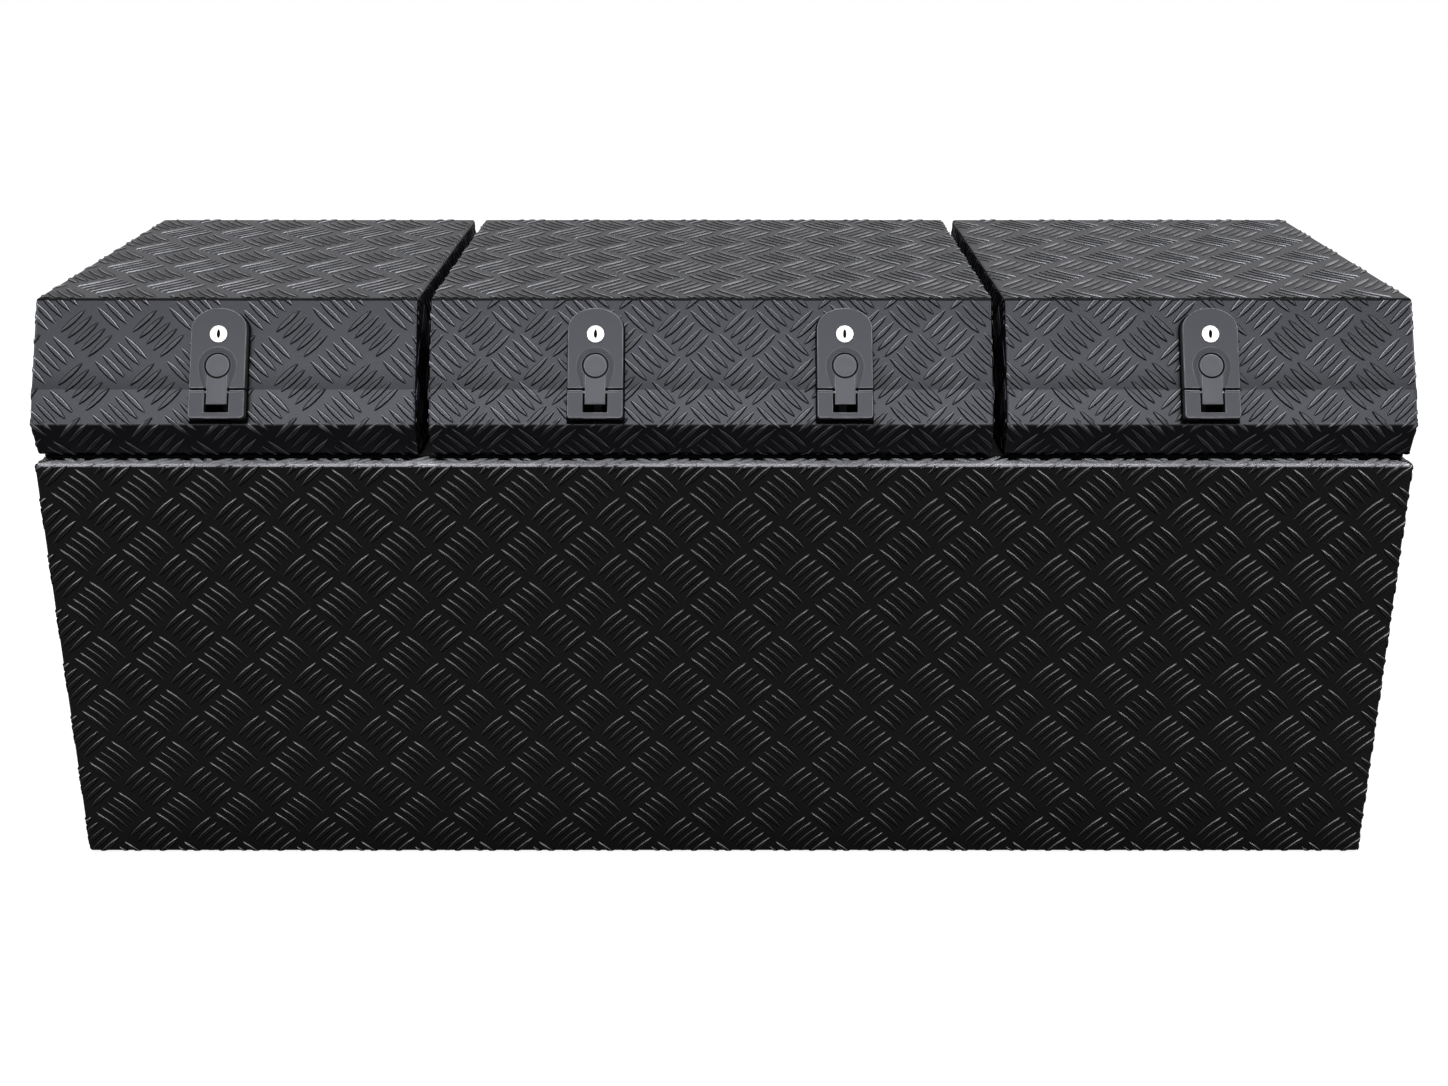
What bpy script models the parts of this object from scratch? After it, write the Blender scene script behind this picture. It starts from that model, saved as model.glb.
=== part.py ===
"""Caravan tool box: a folded tread plate tub under three hinged lids, with four push latches.

Frame: +X to the right, +Y from the front to the back, +Z up, in metres. The origin is at the
middle of the bottom of the whole box, so the front faces -Y.
"""
import math

import bmesh
import bpy
from mathutils import Matrix, Vector

# Driving dimensions of the box
box_width = 1.400
box_depth = 0.512
tub_height = 0.450
lid_height = 0.152
left_lid_width = 0.390
right_lid_width = 0.416
lid_gap = 0.011
sheet = 0.003
clearance = 0.0003
overrun = 0.010

# Folds of the tub: the rim turns in over the walls and its lip turns down
bend_radius = 0.005
front_rim = 0.030
side_rim = 0.018
lip_depth = 0.015

# Lids: a band that faces down, the front panel in two flats, the top and the back
lid_lift = 0.004
hem_width = 0.014
band_height = 0.035
band_setback = 0.0138
fold_setback = 0.0033
crease_height = 0.068
crease_setback = 0.019
top_setback = 0.065
top_bend_radius = 0.010
fold_radius = 0.0045
back_bend_radius = 0.008
lid_corner_radius = 0.004

# Dividers: a web between two compartments under a flange that carries both seals
web_thickness = 0.002

# Seals on the rim, under the hem of each lid
seal_width = 0.008
seal_inset = 0.003
seal_corner_radius = 0.006

# Hinges along the back
leaf_height = 0.030
leaf_thickness = 0.0018
leaf_margin = 0.024
barrel_radius = 0.0037
hinge_pin_radius = 0.0015
knuckle_count = 7

# Latches: places along each lid, from its left edge, and up the front panel from the crease
left_latch_share = 0.492
middle_latch_shares = (0.297, 0.735)
right_latch_share = 0.493
latch_rise = 0.025

# Latch housing, in its own frame: x across, y up the panel, z out of it
latch_width = 0.056
latch_length = 0.114
latch_thickness = 0.011
dome_height = 0.0215
face_thickness = 0.0035
rim_wall = 0.0025
edge_round = 0.0006
tab_width = 0.021
tab_thickness = 0.005
tab_root = 0.010
cheek_spacing = 0.036
cheek_thickness = 0.0025
cheek_depth = 0.026
cheek_top = 0.038
cheek_foot = 0.008

# Opening in the lid behind a latch
cutout_width = 0.044
cutout_top_margin = 0.013
cutout_drop = 0.0235

# Latch lever
lever_length = 0.030
lever_gap = 0.0009
knuckle_radius = 0.0026
lever_standoff = 0.001
finger_gap_width = 0.0243
finger_gap_height = 0.0078
bar_height = 0.0065
bar_thickness = 0.004
bar_recess = 0.0004
lever_corner_radius = 0.003
tail_width = 0.004
tail_height = 0.005
tail_inset = 0.0009
tail_depth = 0.012
lever_pin_radius = 0.0012
lever_pin_bite = 0.010

# Push button
button_drop = 0.0026
button_radius = 0.0122
button_groove = 0.0011
button_thickness = 0.006
button_stem_radius = 0.004
button_stem_length = 0.014
guide_drop = 0.004
guide_thickness = 0.0025
guide_height = 0.015

# Key cylinder
cylinder_rise = 0.0298
cylinder_radius = 0.0087
cylinder_gap = 0.0005
cylinder_proud = 0.0006
cylinder_depth = 0.025
keyway_width = 0.0016
keyway_height = 0.0075
keyway_depth = 0.003
cam_width = 0.010
cam_reach = 0.015
cam_thickness = 0.003

# Hook that swings under the lip of the rim
hook_pivot_drop = 0.020
hook_pivot_depth = 0.022
hook_boss_radius = 0.007
hook_thickness = 0.008
hook_arm_width = 0.008
hook_nose_thickness = 0.006
hook_drop = 0.0015
hook_tip_gap = 0.0015
hook_arm_clear = 0.0095
hook_axle_radius = 0.003

# Gas struts and what holds them
strut_clear = 0.0025
strut_tube_radius = 0.0075
strut_wall = 0.0013
strut_tube_start = 0.012
strut_rod_showing = 0.066
strut_cap = 0.003
strut_gland = 0.010
strut_rod_radius = 0.003
strut_piston_length = 0.008
strut_piston_gap = 0.002
strut_neck_radius = 0.004
eye_radius = 0.008
eye_thickness = 0.007
stud_radius = 0.003
stud_head_radius = 0.0045
stud_head_thickness = 0.002
bracket_height = 0.034
bracket_depth = 0.026
bracket_thickness = 0.002
foot_setback_share = 0.17
foot_drop = 0.085
stud_place_share = 0.39
stud_rise = 0.046

# Angles in degrees: edges that are sharper get rounded, or keep a crease in the shading
fold_angle = 45
edge_angle = 60
smooth_angle = 35

# Counts of flats round each kind of round shape, and how full a rounded edge is
fold_steps = 3
edge_steps = 1
knuckle_steps = 4
round_profile = 0.5
dome_steps = 12
small_round_sides = 12
medium_round_sides = 16
button_sides = 32

# Places worked out from the sizes
lid_base = tub_height + lid_lift
front = -box_depth / 2
back = box_depth / 2
left = -box_width / 2
middle_lid_width = box_width - left_lid_width - right_lid_width - 2 * lid_gap
lid_spans = {
    "left": (left, left + left_lid_width),
    "middle": (left + left_lid_width + lid_gap, left + left_lid_width + lid_gap + middle_lid_width),
    "right": (-left - right_lid_width, -left),
}
divider_places = {
    "left": lid_spans["left"][1] + lid_gap / 2,
    "right": lid_spans["right"][0] - lid_gap / 2,
}
flange_half = lid_gap / 2 + side_rim
hinge_y = back + clearance + barrel_radius
hinge_z = tub_height + lid_lift / 2
slope_run = top_setback - crease_setback
slope_rise = lid_height - crease_height
slope_length = math.hypot(slope_run, slope_rise)
slope_tilt = math.atan2(slope_rise, slope_run)
latch_y = front + crease_setback + latch_rise * slope_run / slope_length
latch_z = lid_base + crease_height + latch_rise * slope_rise / slope_length
latch_places = [
    lid_spans["left"][0] + left_latch_share * left_lid_width,
    lid_spans["middle"][0] + middle_latch_shares[0] * middle_lid_width,
    lid_spans["middle"][0] + middle_latch_shares[1] * middle_lid_width,
    lid_spans["right"][0] + right_latch_share * right_lid_width,
]
latch_lids = ["left", "middle", "middle", "right"]

# The finishes, as colour, roughness and metallic value
FINISHES = {
    "tread_plate": ((0.045, 0.046, 0.050, 1.0), 0.45, 0.0),
    "plain_sheet": ((0.060, 0.061, 0.065, 1.0), 0.50, 0.0),
    "latch_casting": ((0.070, 0.071, 0.076, 1.0), 0.42, 0.0),
    "bright_metal": ((0.750, 0.760, 0.770, 1.0), 0.25, 1.0),
    "steel": ((0.450, 0.455, 0.460, 1.0), 0.35, 1.0),
    "strut_black": ((0.020, 0.020, 0.022, 1.0), 0.40, 0.0),
    "rubber": ((0.015, 0.015, 0.015, 1.0), 0.80, 0.0),
}


def clear_scene():
    """Remove every object that the file holds."""
    for thing in list(bpy.data.objects):
        bpy.data.objects.remove(thing, do_unlink=True)


def finish(name):
    """The Principled material of that name, made the first time it is asked for."""
    material = bpy.data.materials.get(name)
    if material:
        return material
    colour, roughness, metallic = FINISHES[name]
    material = bpy.data.materials.new(name)
    material.use_nodes = True
    shader = material.node_tree.nodes["Principled BSDF"]
    shader.inputs["Base Color"].default_value = colour
    shader.inputs["Roughness"].default_value = roughness
    shader.inputs["Metallic"].default_value = metallic
    material.diffuse_color = colour
    return material


def frame_at(name, location, tilt=0.0, parent=None):
    """An empty that carries pieces at a place, turned about X."""
    empty = bpy.data.objects.new(name, None)
    parts.objects.link(empty)
    empty.location = location
    empty.rotation_euler = (tilt, 0.0, 0.0)
    empty.parent = parent
    return empty


def piece(name, mesh, finish_name, location=(0.0, 0.0, 0.0), parent=None, smooth=True):
    """One named part: a mesh with its own copy of a finish, put on its parent."""
    mesh = mesh.copy()
    mesh.name = name
    material = finish(finish_name).copy()
    material.name = name + "_finish"
    mesh.materials.clear()
    mesh.materials.append(material)
    if smooth:
        mesh.shade_smooth()
        mesh.set_sharp_from_angle(angle=math.radians(smooth_angle))
    thing = bpy.data.objects.new(name, mesh)
    parts.objects.link(thing)
    thing.location = location
    thing.parent = parent
    return thing


def shape_from(thing):
    """The evaluated mesh of a working object, moved by its own matrix; the object goes."""
    bpy.context.view_layer.update()
    graph = bpy.context.evaluated_depsgraph_get()
    mesh = bpy.data.meshes.new_from_object(thing.evaluated_get(graph))
    mesh.transform(thing.matrix_world)
    bpy.data.objects.remove(thing, do_unlink=True)
    return mesh


def working(mesh):
    """A working object that holds a mesh while it is cut or joined."""
    thing = bpy.data.objects.new("working", mesh)
    workshop.objects.link(thing)
    thing.hide_render = True
    thing.display_type = "WIRE"
    return thing


def combined(base, cuts=(), joins=()):
    """The mesh of base with the joins added to it and then the cuts taken out of it."""
    target = working(base)
    tools = []
    for operation, meshes in (("UNION", joins), ("DIFFERENCE", cuts)):
        for mesh in meshes:
            tool = working(mesh)
            tools.append(tool)
            step = target.modifiers.new(operation, "BOOLEAN")
            step.operation = operation
            step.object = tool
            step.solver = "EXACT"
    result = shape_from(target)
    for tool in tools:
        bpy.data.objects.remove(tool, do_unlink=True)
    return result


def box(low, high):
    """A block between two opposite corners."""
    bm = bmesh.new()
    bmesh.ops.create_cube(bm, size=1.0)
    size = [high[i] - low[i] for i in range(3)]
    middle = [(high[i] + low[i]) / 2 for i in range(3)]
    bmesh.ops.scale(bm, vec=size, verts=bm.verts)
    bmesh.ops.translate(bm, vec=middle, verts=bm.verts)
    return mesh_of(bm)


def mesh_of(bm):
    """A mesh holding what was built."""
    mesh = bpy.data.meshes.new("shape")
    bm.to_mesh(mesh)
    bm.free()
    return mesh


def rod(start, end, radius, sides=small_round_sides):
    """A round bar between two points."""
    start = Vector(start)
    along = Vector(end) - start
    bm = bmesh.new()
    bmesh.ops.create_cone(
        bm, cap_ends=True, segments=sides, radius1=radius, radius2=radius, depth=along.length)
    turn = along.to_track_quat("Z", "Y").to_matrix()
    bmesh.ops.rotate(bm, cent=(0.0, 0.0, 0.0), matrix=turn, verts=bm.verts)
    bmesh.ops.translate(bm, vec=start + along / 2, verts=bm.verts)
    return mesh_of(bm)


def slab(outlines, low, high, across=False):
    """A flat outline, with any holes, given thickness from low to high.

    The outline lies in X and Y and its thickness along Z, or with across set the outline lies in
    Y and Z and its thickness runs along X.
    """
    curve = bpy.data.curves.new("outline", "CURVE")
    curve.dimensions = "2D"
    curve.fill_mode = "BOTH"
    curve.extrude = (high - low) / 2
    for outline in outlines:
        spline = curve.splines.new("POLY")
        spline.points.add(len(outline) - 1)
        for point, place in zip(spline.points, outline):
            point.co = (place[0], place[1], 0.0, 1.0)
        spline.use_cyclic_u = True
    thing = bpy.data.objects.new("outline", curve)
    workshop.objects.link(thing)
    middle = (high + low) / 2
    if across:
        thing.rotation_euler = (math.pi / 2, 0.0, math.pi / 2)
        thing.location = (middle, 0.0, 0.0)
    else:
        thing.location = (0.0, 0.0, middle)
    mesh = shape_from(thing)
    bm = bmesh.new()
    bm.from_mesh(mesh)
    bmesh.ops.remove_doubles(bm, verts=bm.verts, dist=clearance / 100)
    bmesh.ops.recalc_face_normals(bm, faces=bm.faces)
    bm.to_mesh(mesh)
    bm.free()
    return mesh


def rounded(corners, radii, steps=fold_steps):
    """An outline whose corners are arcs tangent to both sides; a radius of 0 keeps a corner."""
    points = []
    count = len(corners)
    for i, corner in enumerate(corners):
        corner = Vector(corner)
        before = (Vector(corners[i - 1]) - corner).normalized()
        after = (Vector(corners[(i + 1) % count]) - corner).normalized()
        if radii[i] <= 0:
            points.append(tuple(corner))
            continue
        half = before.angle(after) / 2
        centre = corner + (before + after).normalized() * radii[i] / math.sin(half)
        start = corner + before * radii[i] / math.tan(half) - centre
        end = corner + after * radii[i] / math.tan(half) - centre
        sweep = start.angle_signed(end)
        for k in range(steps + 1):
            turn = -sweep * k / steps
            x = start.x * math.cos(turn) - start.y * math.sin(turn)
            y = start.x * math.sin(turn) + start.y * math.cos(turn)
            points.append((centre.x + x, centre.y + y))
    return points


def arc(centre, radius, first, last, steps):
    """Points along a round arc, from one angle to another."""
    points = []
    for k in range(steps + 1):
        angle = first + (last - first) * k / steps
        points.append((centre[0] + radius * math.cos(angle), centre[1] + radius * math.sin(angle)))
    return points


def circle(centre, radius, sides):
    """Points round a whole circle."""
    return arc(centre, radius, 0.0, math.tau, sides)[:-1]


def soft_edges(mesh, width, steps, angle):
    """The mesh with every edge sharper than an angle rounded over."""
    bm = bmesh.new()
    bm.from_mesh(mesh)
    bmesh.ops.dissolve_limit(bm, angle_limit=math.radians(1), verts=bm.verts, edges=bm.edges)
    edges = [edge for edge in bm.edges if edge.calc_face_angle(0.0) > math.radians(angle)]
    bmesh.ops.bevel(
        bm, geom=edges, offset=width, offset_type="OFFSET", segments=steps, profile=round_profile,
        affect="EDGES", clamp_overlap=True)
    bm.to_mesh(mesh)
    bm.free()
    return mesh


def flipped(mesh):
    """The same mesh seen in a mirror across X, with its faces still pointing out."""
    mesh = mesh.copy()
    bm = bmesh.new()
    bm.from_mesh(mesh)
    bmesh.ops.scale(bm, vec=(-1.0, 1.0, 1.0), verts=bm.verts)
    bmesh.ops.reverse_faces(bm, faces=bm.faces)
    bm.to_mesh(mesh)
    bm.free()
    return mesh


def build_tub():
    """The folded tub: walls and floor, a rim turned in over them and a lip turned down."""
    shell = soft_edges(
        box((left, front, 0.0), (-left, back, tub_height)), bend_radius, fold_steps, fold_angle)
    inside = box(
        (left + sheet, front + sheet, sheet), (-left - sheet, back - sheet, tub_height - sheet))
    mouth_low = (left + side_rim, front + front_rim)
    mouth_high = (-left - side_rim, back - side_rim)
    lip = box(
        (*[v - sheet for v in mouth_low], tub_height - lip_depth),
        (*[v + sheet for v in mouth_high], tub_height - sheet / 2))
    mouth = box((*mouth_low, tub_height - lip_depth - overrun), (*mouth_high, tub_height + overrun))
    hollow = combined(shell, cuts=[inside])
    rimmed = combined(hollow, joins=[lip], cuts=[mouth])
    piece("tub", rimmed, "tread_plate")


def build_divider(side):
    """A web from the floor to the rim, notched round the lip, under a wide flange."""
    place = divider_places[side]
    low_y = front + sheet + clearance
    high_y = back - sheet - clearance
    notch_z = tub_height - lip_depth - clearance
    flange_front = front + front_rim + clearance
    flange_back = back - side_rim - clearance
    under = tub_height - sheet / 2
    floor = sheet + clearance
    web = [
        (low_y, floor), (high_y, floor), (high_y, notch_z), (flange_back, notch_z),
        (flange_back, under), (flange_front, under), (flange_front, notch_z), (low_y, notch_z)]
    half = web_thickness / 2
    flange = box(
        (place - flange_half, flange_front, tub_height - sheet),
        (place + flange_half, flange_back, tub_height))
    mesh = combined(slab([web], place - half, place + half, across=True), joins=[flange])
    piece("divider_" + side, mesh, "plain_sheet")


def lid_outline(inset):
    """The lid's section in Y and Z, moved in from the outside of the sheet by inset."""
    corners = [
        (front + band_setback, lid_base),
        (front + fold_setback, lid_base + band_height),
        (front + crease_setback, lid_base + crease_height),
        (front + top_setback, lid_base + lid_height),
        (back, lid_base + lid_height),
        (back, lid_base),
    ]
    radii = [0.0, fold_radius, 0.0, top_bend_radius, back_bend_radius, 0.0]
    if inset == 0:
        return rounded(corners, radii)
    moved = []
    count = len(corners)
    for i, corner in enumerate(corners):
        corner = Vector(corner)
        one = (corner - Vector(corners[i - 1])).normalized()
        two = (Vector(corners[(i + 1) % count]) - corner).normalized()
        one_in = Vector((one.y, -one.x))
        two_in = Vector((two.y, -two.x))
        bisector = (one_in + two_in).normalized()
        moved.append(corner + bisector * inset / bisector.dot(one_in))
    inner_radii = [max(radius - inset, 0.0) for radius in radii]
    return rounded([tuple(v) for v in moved], inner_radii)


def build_lid(side):
    """A folded lid, open below inside its hem, with an opening behind each latch."""
    low_x, high_x = lid_spans[side]
    outer = soft_edges(
        slab([lid_outline(0)], low_x, high_x, across=True), lid_corner_radius, fold_steps,
        fold_angle)
    inner = slab([lid_outline(sheet)], low_x + sheet, high_x - sheet, across=True)
    mouth = box(
        (low_x + hem_width, front + band_setback + hem_width, lid_base - overrun),
        (high_x - hem_width, back - hem_width, lid_base + 2 * sheet))
    cuts = [inner, mouth]
    for place, lid in zip(latch_places, latch_lids):
        if lid == side:
            cuts.append(latch_opening(place))
    piece("lid_" + side, combined(outer, cuts=cuts), "tread_plate")


def latch_opening(place):
    """The block that cuts the opening behind a latch out of a lid's front panel."""
    split = -latch_length / 2 + lever_length + lever_gap
    cutter = box(
        (-cutout_width / 2, split - cutout_drop, -2 * sheet),
        (cutout_width / 2, latch_length / 2 - cutout_top_margin, 2 * sheet))
    thing = working(cutter)
    thing.location = (place, latch_y, latch_z)
    thing.rotation_euler = (slope_tilt, 0.0, 0.0)
    return shape_from(thing)


def build_seal(side):
    """A rubber ring between the rim and the lid's hem."""
    low_x, high_x = lid_spans[side]
    front_line = front + band_setback
    rings = []
    for inset in (seal_inset, seal_inset + seal_width):
        corners = [
            (low_x + inset, front_line + inset), (high_x - inset, front_line + inset),
            (high_x - inset, back - inset), (low_x + inset, back - inset)]
        if inset == seal_inset:
            radius = seal_corner_radius + seal_width
        else:
            radius = seal_corner_radius
        rings.append(rounded(corners, [radius] * len(corners)))
    mesh = slab(rings, tub_height + clearance, lid_base - clearance)
    piece("seal_" + side, mesh, "rubber")


def hinge_leaf(length, up):
    """A hinge leaf with every other knuckle, at the middle of the hinge; up is 1 or -1."""
    leaf_y = hinge_y - barrel_radius
    offset = leaf_thickness - barrel_radius
    reach = math.sqrt(barrel_radius ** 2 - offset ** 2)
    first = math.atan2(reach, offset)
    outline = [(leaf_y, leaf_height), (leaf_y + leaf_thickness, leaf_height)]
    outline += arc((hinge_y, 0.0), barrel_radius, first, -math.pi, medium_round_sides)
    hole = circle((hinge_y, 0.0), hinge_pin_radius + clearance, small_round_sides)
    sides = [[(y, hinge_z + up * z) for y, z in ring] for ring in (outline, hole)]
    mesh = slab(sides, -length / 2, length / 2, across=True)
    knuckle = length / knuckle_count
    room = barrel_radius + clearance
    cuts = []
    for k in range(knuckle_count):
        mine = (k % 2 == 0) == (up < 0)
        if mine:
            continue
        start = -length / 2 + k * knuckle
        low = start - clearance / 2 if k else start - overrun
        high = start + knuckle
        high += clearance / 2 if k < knuckle_count - 1 else overrun
        z_low, z_high = sorted((hinge_z - up * room, hinge_z + up * room))
        cuts.append(box((low, leaf_y - overrun, z_low), (high, hinge_y + overrun, z_high)))
    return combined(mesh, cuts=cuts)


def build_hinge(side):
    """Two leaves and their pin, on the lid's own axis."""
    low_x, high_x = lid_spans[side]
    length = high_x - low_x - 2 * leaf_margin
    middle = (low_x + high_x) / 2
    piece("hinge_tub_leaf_" + side, hinge_leaf(length, -1), "steel", (middle, 0.0, 0.0))
    piece("hinge_lid_leaf_" + side, hinge_leaf(length, 1), "steel", (middle, 0.0, 0.0))
    pin = rod((-length / 2, 0.0, 0.0), (length / 2, 0.0, 0.0), hinge_pin_radius)
    piece("hinge_pin_" + side, pin, "steel", (middle, hinge_y, hinge_z))


def latch_face(inset):
    """The outline of the housing's face: straight sides under a half ellipse."""
    half = latch_width / 2 - inset
    base = -latch_length / 2 + lever_length + lever_gap + inset
    shoulder = latch_length / 2 - dome_height
    points = [(-half, base), (half, base)]
    for k in range(dome_steps + 1):
        angle = math.pi * k / dome_steps
        points.append((half * math.cos(angle), shoulder + (dome_height - inset) * math.sin(angle)))
    return points


def housing_mesh():
    """The latch's dished face with its tab and bores, and behind it two cheeks and a guide."""
    face = soft_edges(
        slab([latch_face(0.0)], clearance, latch_thickness), edge_round, edge_steps, edge_angle)
    dish = slab([latch_face(rim_wall)], -overrun, latch_thickness - face_thickness)
    tab_end = -latch_length / 2 + bar_height + finger_gap_height
    tab_start = -latch_length / 2 + lever_length + tab_root
    tab = soft_edges(
        box((-tab_width / 2, tab_end, latch_thickness - tab_thickness),
            (tab_width / 2, tab_start, latch_thickness)), edge_round, edge_steps, edge_angle)
    base = -latch_length / 2 + lever_length + lever_gap + rim_wall / 2
    seat = latch_thickness - face_thickness / 2
    cheek = [
        (base, seat), (cheek_top, seat), (cheek_top, -cheek_depth / 2),
        (-hook_pivot_drop + cheek_foot, -cheek_depth), (-hook_pivot_drop - cheek_foot, -cheek_depth),
        (-hook_pivot_drop - cheek_foot, -sheet), (base, -sheet)]
    cheeks = []
    for side in (-1, 1):
        inner = side * cheek_spacing / 2
        outer = side * (cheek_spacing / 2 + cheek_thickness)
        cheeks.append(slab([cheek], min(inner, outer), max(inner, outer), across=True))
    guide_half = cheek_spacing / 2 + cheek_thickness / 2
    guide = box(
        (-guide_half, -button_drop - guide_height / 2, -guide_drop - guide_thickness),
        (guide_half, -button_drop + guide_height / 2, -guide_drop))
    bores = [
        rod((0.0, -button_drop, 0.0), (0.0, -button_drop, latch_thickness + overrun),
            button_radius + button_groove, button_sides),
        rod((0.0, -button_drop, -overrun), (0.0, -button_drop, overrun),
            button_stem_radius + clearance),
        rod((0.0, cylinder_rise, -overrun), (0.0, cylinder_rise, latch_thickness + overrun),
            cylinder_radius + cylinder_gap, button_sides),
        lever_pin_bore(0.0, tab_width),
        rod((-cutout_width, -hook_pivot_drop, -hook_pivot_depth),
            (cutout_width, -hook_pivot_drop, -hook_pivot_depth), hook_axle_radius + clearance),
    ]
    shell = combined(face, cuts=[dish])
    solid = combined(shell, joins=[tab, guide] + cheeks)
    return combined(solid, cuts=bores)


def lever_pivot():
    """The height and depth of the lever's axis in the latch's frame."""
    return (-latch_length / 2 + lever_length - knuckle_radius, latch_thickness - knuckle_radius)


def lever_pin_bore(low_x, high_x):
    """The round cut for the lever's pin, as far as high_x to either side."""
    y, z = lever_pivot()
    return rod((-high_x, y, z), (high_x, y, z), lever_pin_radius + clearance)


def lever_mesh():
    """The U-shaped lever, about its own axis: two arms, a finger bar and two short tails."""
    half = latch_width / 2
    gap = finger_gap_width / 2
    bottom = -latch_length / 2
    top = bottom + lever_length
    bar_top = bottom + bar_height
    corners = [
        (-half, top), (-half, bottom), (half, bottom), (half, top),
        (gap, top), (gap, bar_top), (-gap, bar_top), (-gap, top)]
    radii = [0.0, lever_corner_radius, lever_corner_radius] + [0.0] * 5
    mesh = slab([rounded(corners, radii)], lever_standoff, latch_thickness)
    mesh = rounded_knuckle(mesh, top)
    mesh = soft_edges(mesh, edge_round, edge_steps, edge_angle)
    y, z = lever_pivot()
    tails = []
    for side in (-1, 1):
        inner = side * (gap + tail_inset)
        outer = side * (gap + tail_inset + tail_width)
        tails.append(box(
            (min(inner, outer), y - tail_height, z - tail_depth),
            (max(inner, outer), y, lever_standoff + edge_round * 2)))
    reach = half - lever_pin_bite / 2
    cuts = [
        lever_pin_bore(0.0, reach),
        box((-gap, bottom - overrun, -overrun), (gap, bar_top + overrun,
                                                latch_thickness - bar_recess - bar_thickness)),
        box((-gap, bottom - overrun, latch_thickness - bar_recess),
            (gap, bar_top + overrun, latch_thickness + overrun)),
    ]
    mesh = combined(mesh, joins=tails)
    mesh = combined(mesh, cuts=cuts)
    mesh.transform(Matrix.Translation((0.0, -y, -z)))
    return mesh


def rounded_knuckle(mesh, top):
    """Round the outer edge along the lever's top about the lever's axis."""
    bm = bmesh.new()
    bm.from_mesh(mesh)
    bmesh.ops.dissolve_limit(bm, angle_limit=math.radians(1), verts=bm.verts, edges=bm.edges)
    edges = []
    for edge in bm.edges:
        places = [vert.co for vert in edge.verts]
        at_top = all(abs(place.y - top) < clearance / 10 for place in places)
        at_face = all(abs(place.z - latch_thickness) < clearance / 10 for place in places)
        if at_top and at_face:
            edges.append(edge)
    bmesh.ops.bevel(
        bm, geom=edges, offset=knuckle_radius, offset_type="OFFSET", segments=knuckle_steps,
        profile=round_profile, affect="EDGES", clamp_overlap=False)
    bm.to_mesh(mesh)
    bm.free()
    return mesh


def button_mesh():
    """A round button on its stem, with its axis at the origin."""
    cap = soft_edges(
        rod((0.0, 0.0, latch_thickness - button_thickness), (0.0, 0.0, latch_thickness),
            button_radius, button_sides), edge_round, edge_steps, edge_angle)
    stem = rod(
        (0.0, 0.0, -button_stem_length + latch_thickness - button_thickness),
        (0.0, 0.0, latch_thickness - button_thickness / 2), button_stem_radius)
    return combined(cap, joins=[stem])


def cylinder_mesh():
    """A key cylinder with its keyway and the cam on its tail."""
    face = latch_thickness + cylinder_proud
    barrel = rod((0.0, 0.0, face - cylinder_depth), (0.0, 0.0, face), cylinder_radius, button_sides)
    cam_z = face - cylinder_depth
    cam = box(
        (-cam_width / 2, -cam_reach, cam_z - cam_thickness / 2),
        (cam_width / 2, cam_width / 2, cam_z + cam_thickness / 2))
    keyway = box(
        (-keyway_width / 2, -keyway_height / 2, face - keyway_depth),
        (keyway_width / 2, keyway_height / 2, face + overrun))
    return combined(barrel, joins=[cam], cuts=[keyway])


def hook_pivot():
    """The Y and Z of the hook's axis in the frame of the whole box."""
    run = slope_run / slope_length
    rise = slope_rise / slope_length
    y = latch_y - hook_pivot_drop * run + hook_pivot_depth * rise
    z = latch_z - hook_pivot_drop * rise - hook_pivot_depth * run
    return y, z


def hook_mesh():
    """The hook about its own axis: boss, axle, arm and a nose at the level of the lip."""
    pivot_y, pivot_z = hook_pivot()
    tip = front + front_rim + hook_tip_gap - pivot_y
    arm_front = front + front_rim + hook_arm_clear - pivot_y
    arm_back = arm_front + hook_arm_width
    nose_top = tub_height - lip_depth - hook_drop - pivot_z
    nose_bottom = nose_top - hook_nose_thickness
    half = hook_arm_width / 2
    outline = [
        (-half, 0.0), (arm_front, nose_top), (tip, nose_top), (tip, nose_bottom),
        (arm_back, nose_bottom), (half, 0.0)]
    arm = slab([outline], -hook_thickness / 2, hook_thickness / 2, across=True)
    boss = rod(
        (-hook_thickness / 2, 0.0, 0.0), (hook_thickness / 2, 0.0, 0.0), hook_boss_radius,
        medium_round_sides)
    axle_half = cheek_spacing / 2 + cheek_thickness
    axle = rod((-axle_half, 0.0, 0.0), (axle_half, 0.0, 0.0), hook_axle_radius)
    return combined(arm, joins=[boss, axle])


def build_latches():
    """Four like latches: one on each side lid and two on the middle one."""
    housing = housing_mesh()
    lever = lever_mesh()
    button = button_mesh()
    cylinder = cylinder_mesh()
    hook = hook_mesh()
    pivot_y, pivot_z = lever_pivot()
    pin_half = latch_width / 2 - lever_pin_bite / 2 - clearance
    pin = rod((-pin_half, 0.0, 0.0), (pin_half, 0.0, 0.0), lever_pin_radius)
    hook_y, hook_z = hook_pivot()
    for number, place in enumerate(latch_places, start=1):
        tag = "_" + str(number)
        carrier = frame_at("latch_frame" + tag, (place, latch_y, latch_z), slope_tilt)
        piece("latch_housing" + tag, housing, "latch_casting", parent=carrier)
        axis = (0.0, pivot_y, pivot_z)
        piece("latch_lever" + tag, lever, "latch_casting", axis, carrier)
        piece("lever_pin" + tag, pin, "steel", axis, carrier)
        piece("push_button" + tag, button, "latch_casting", (0.0, -button_drop, 0.0), carrier)
        piece("key_cylinder" + tag, cylinder, "bright_metal", (0.0, cylinder_rise, 0.0), carrier)
        piece("hook" + tag, hook, "steel", (place, hook_y, hook_z))


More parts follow.
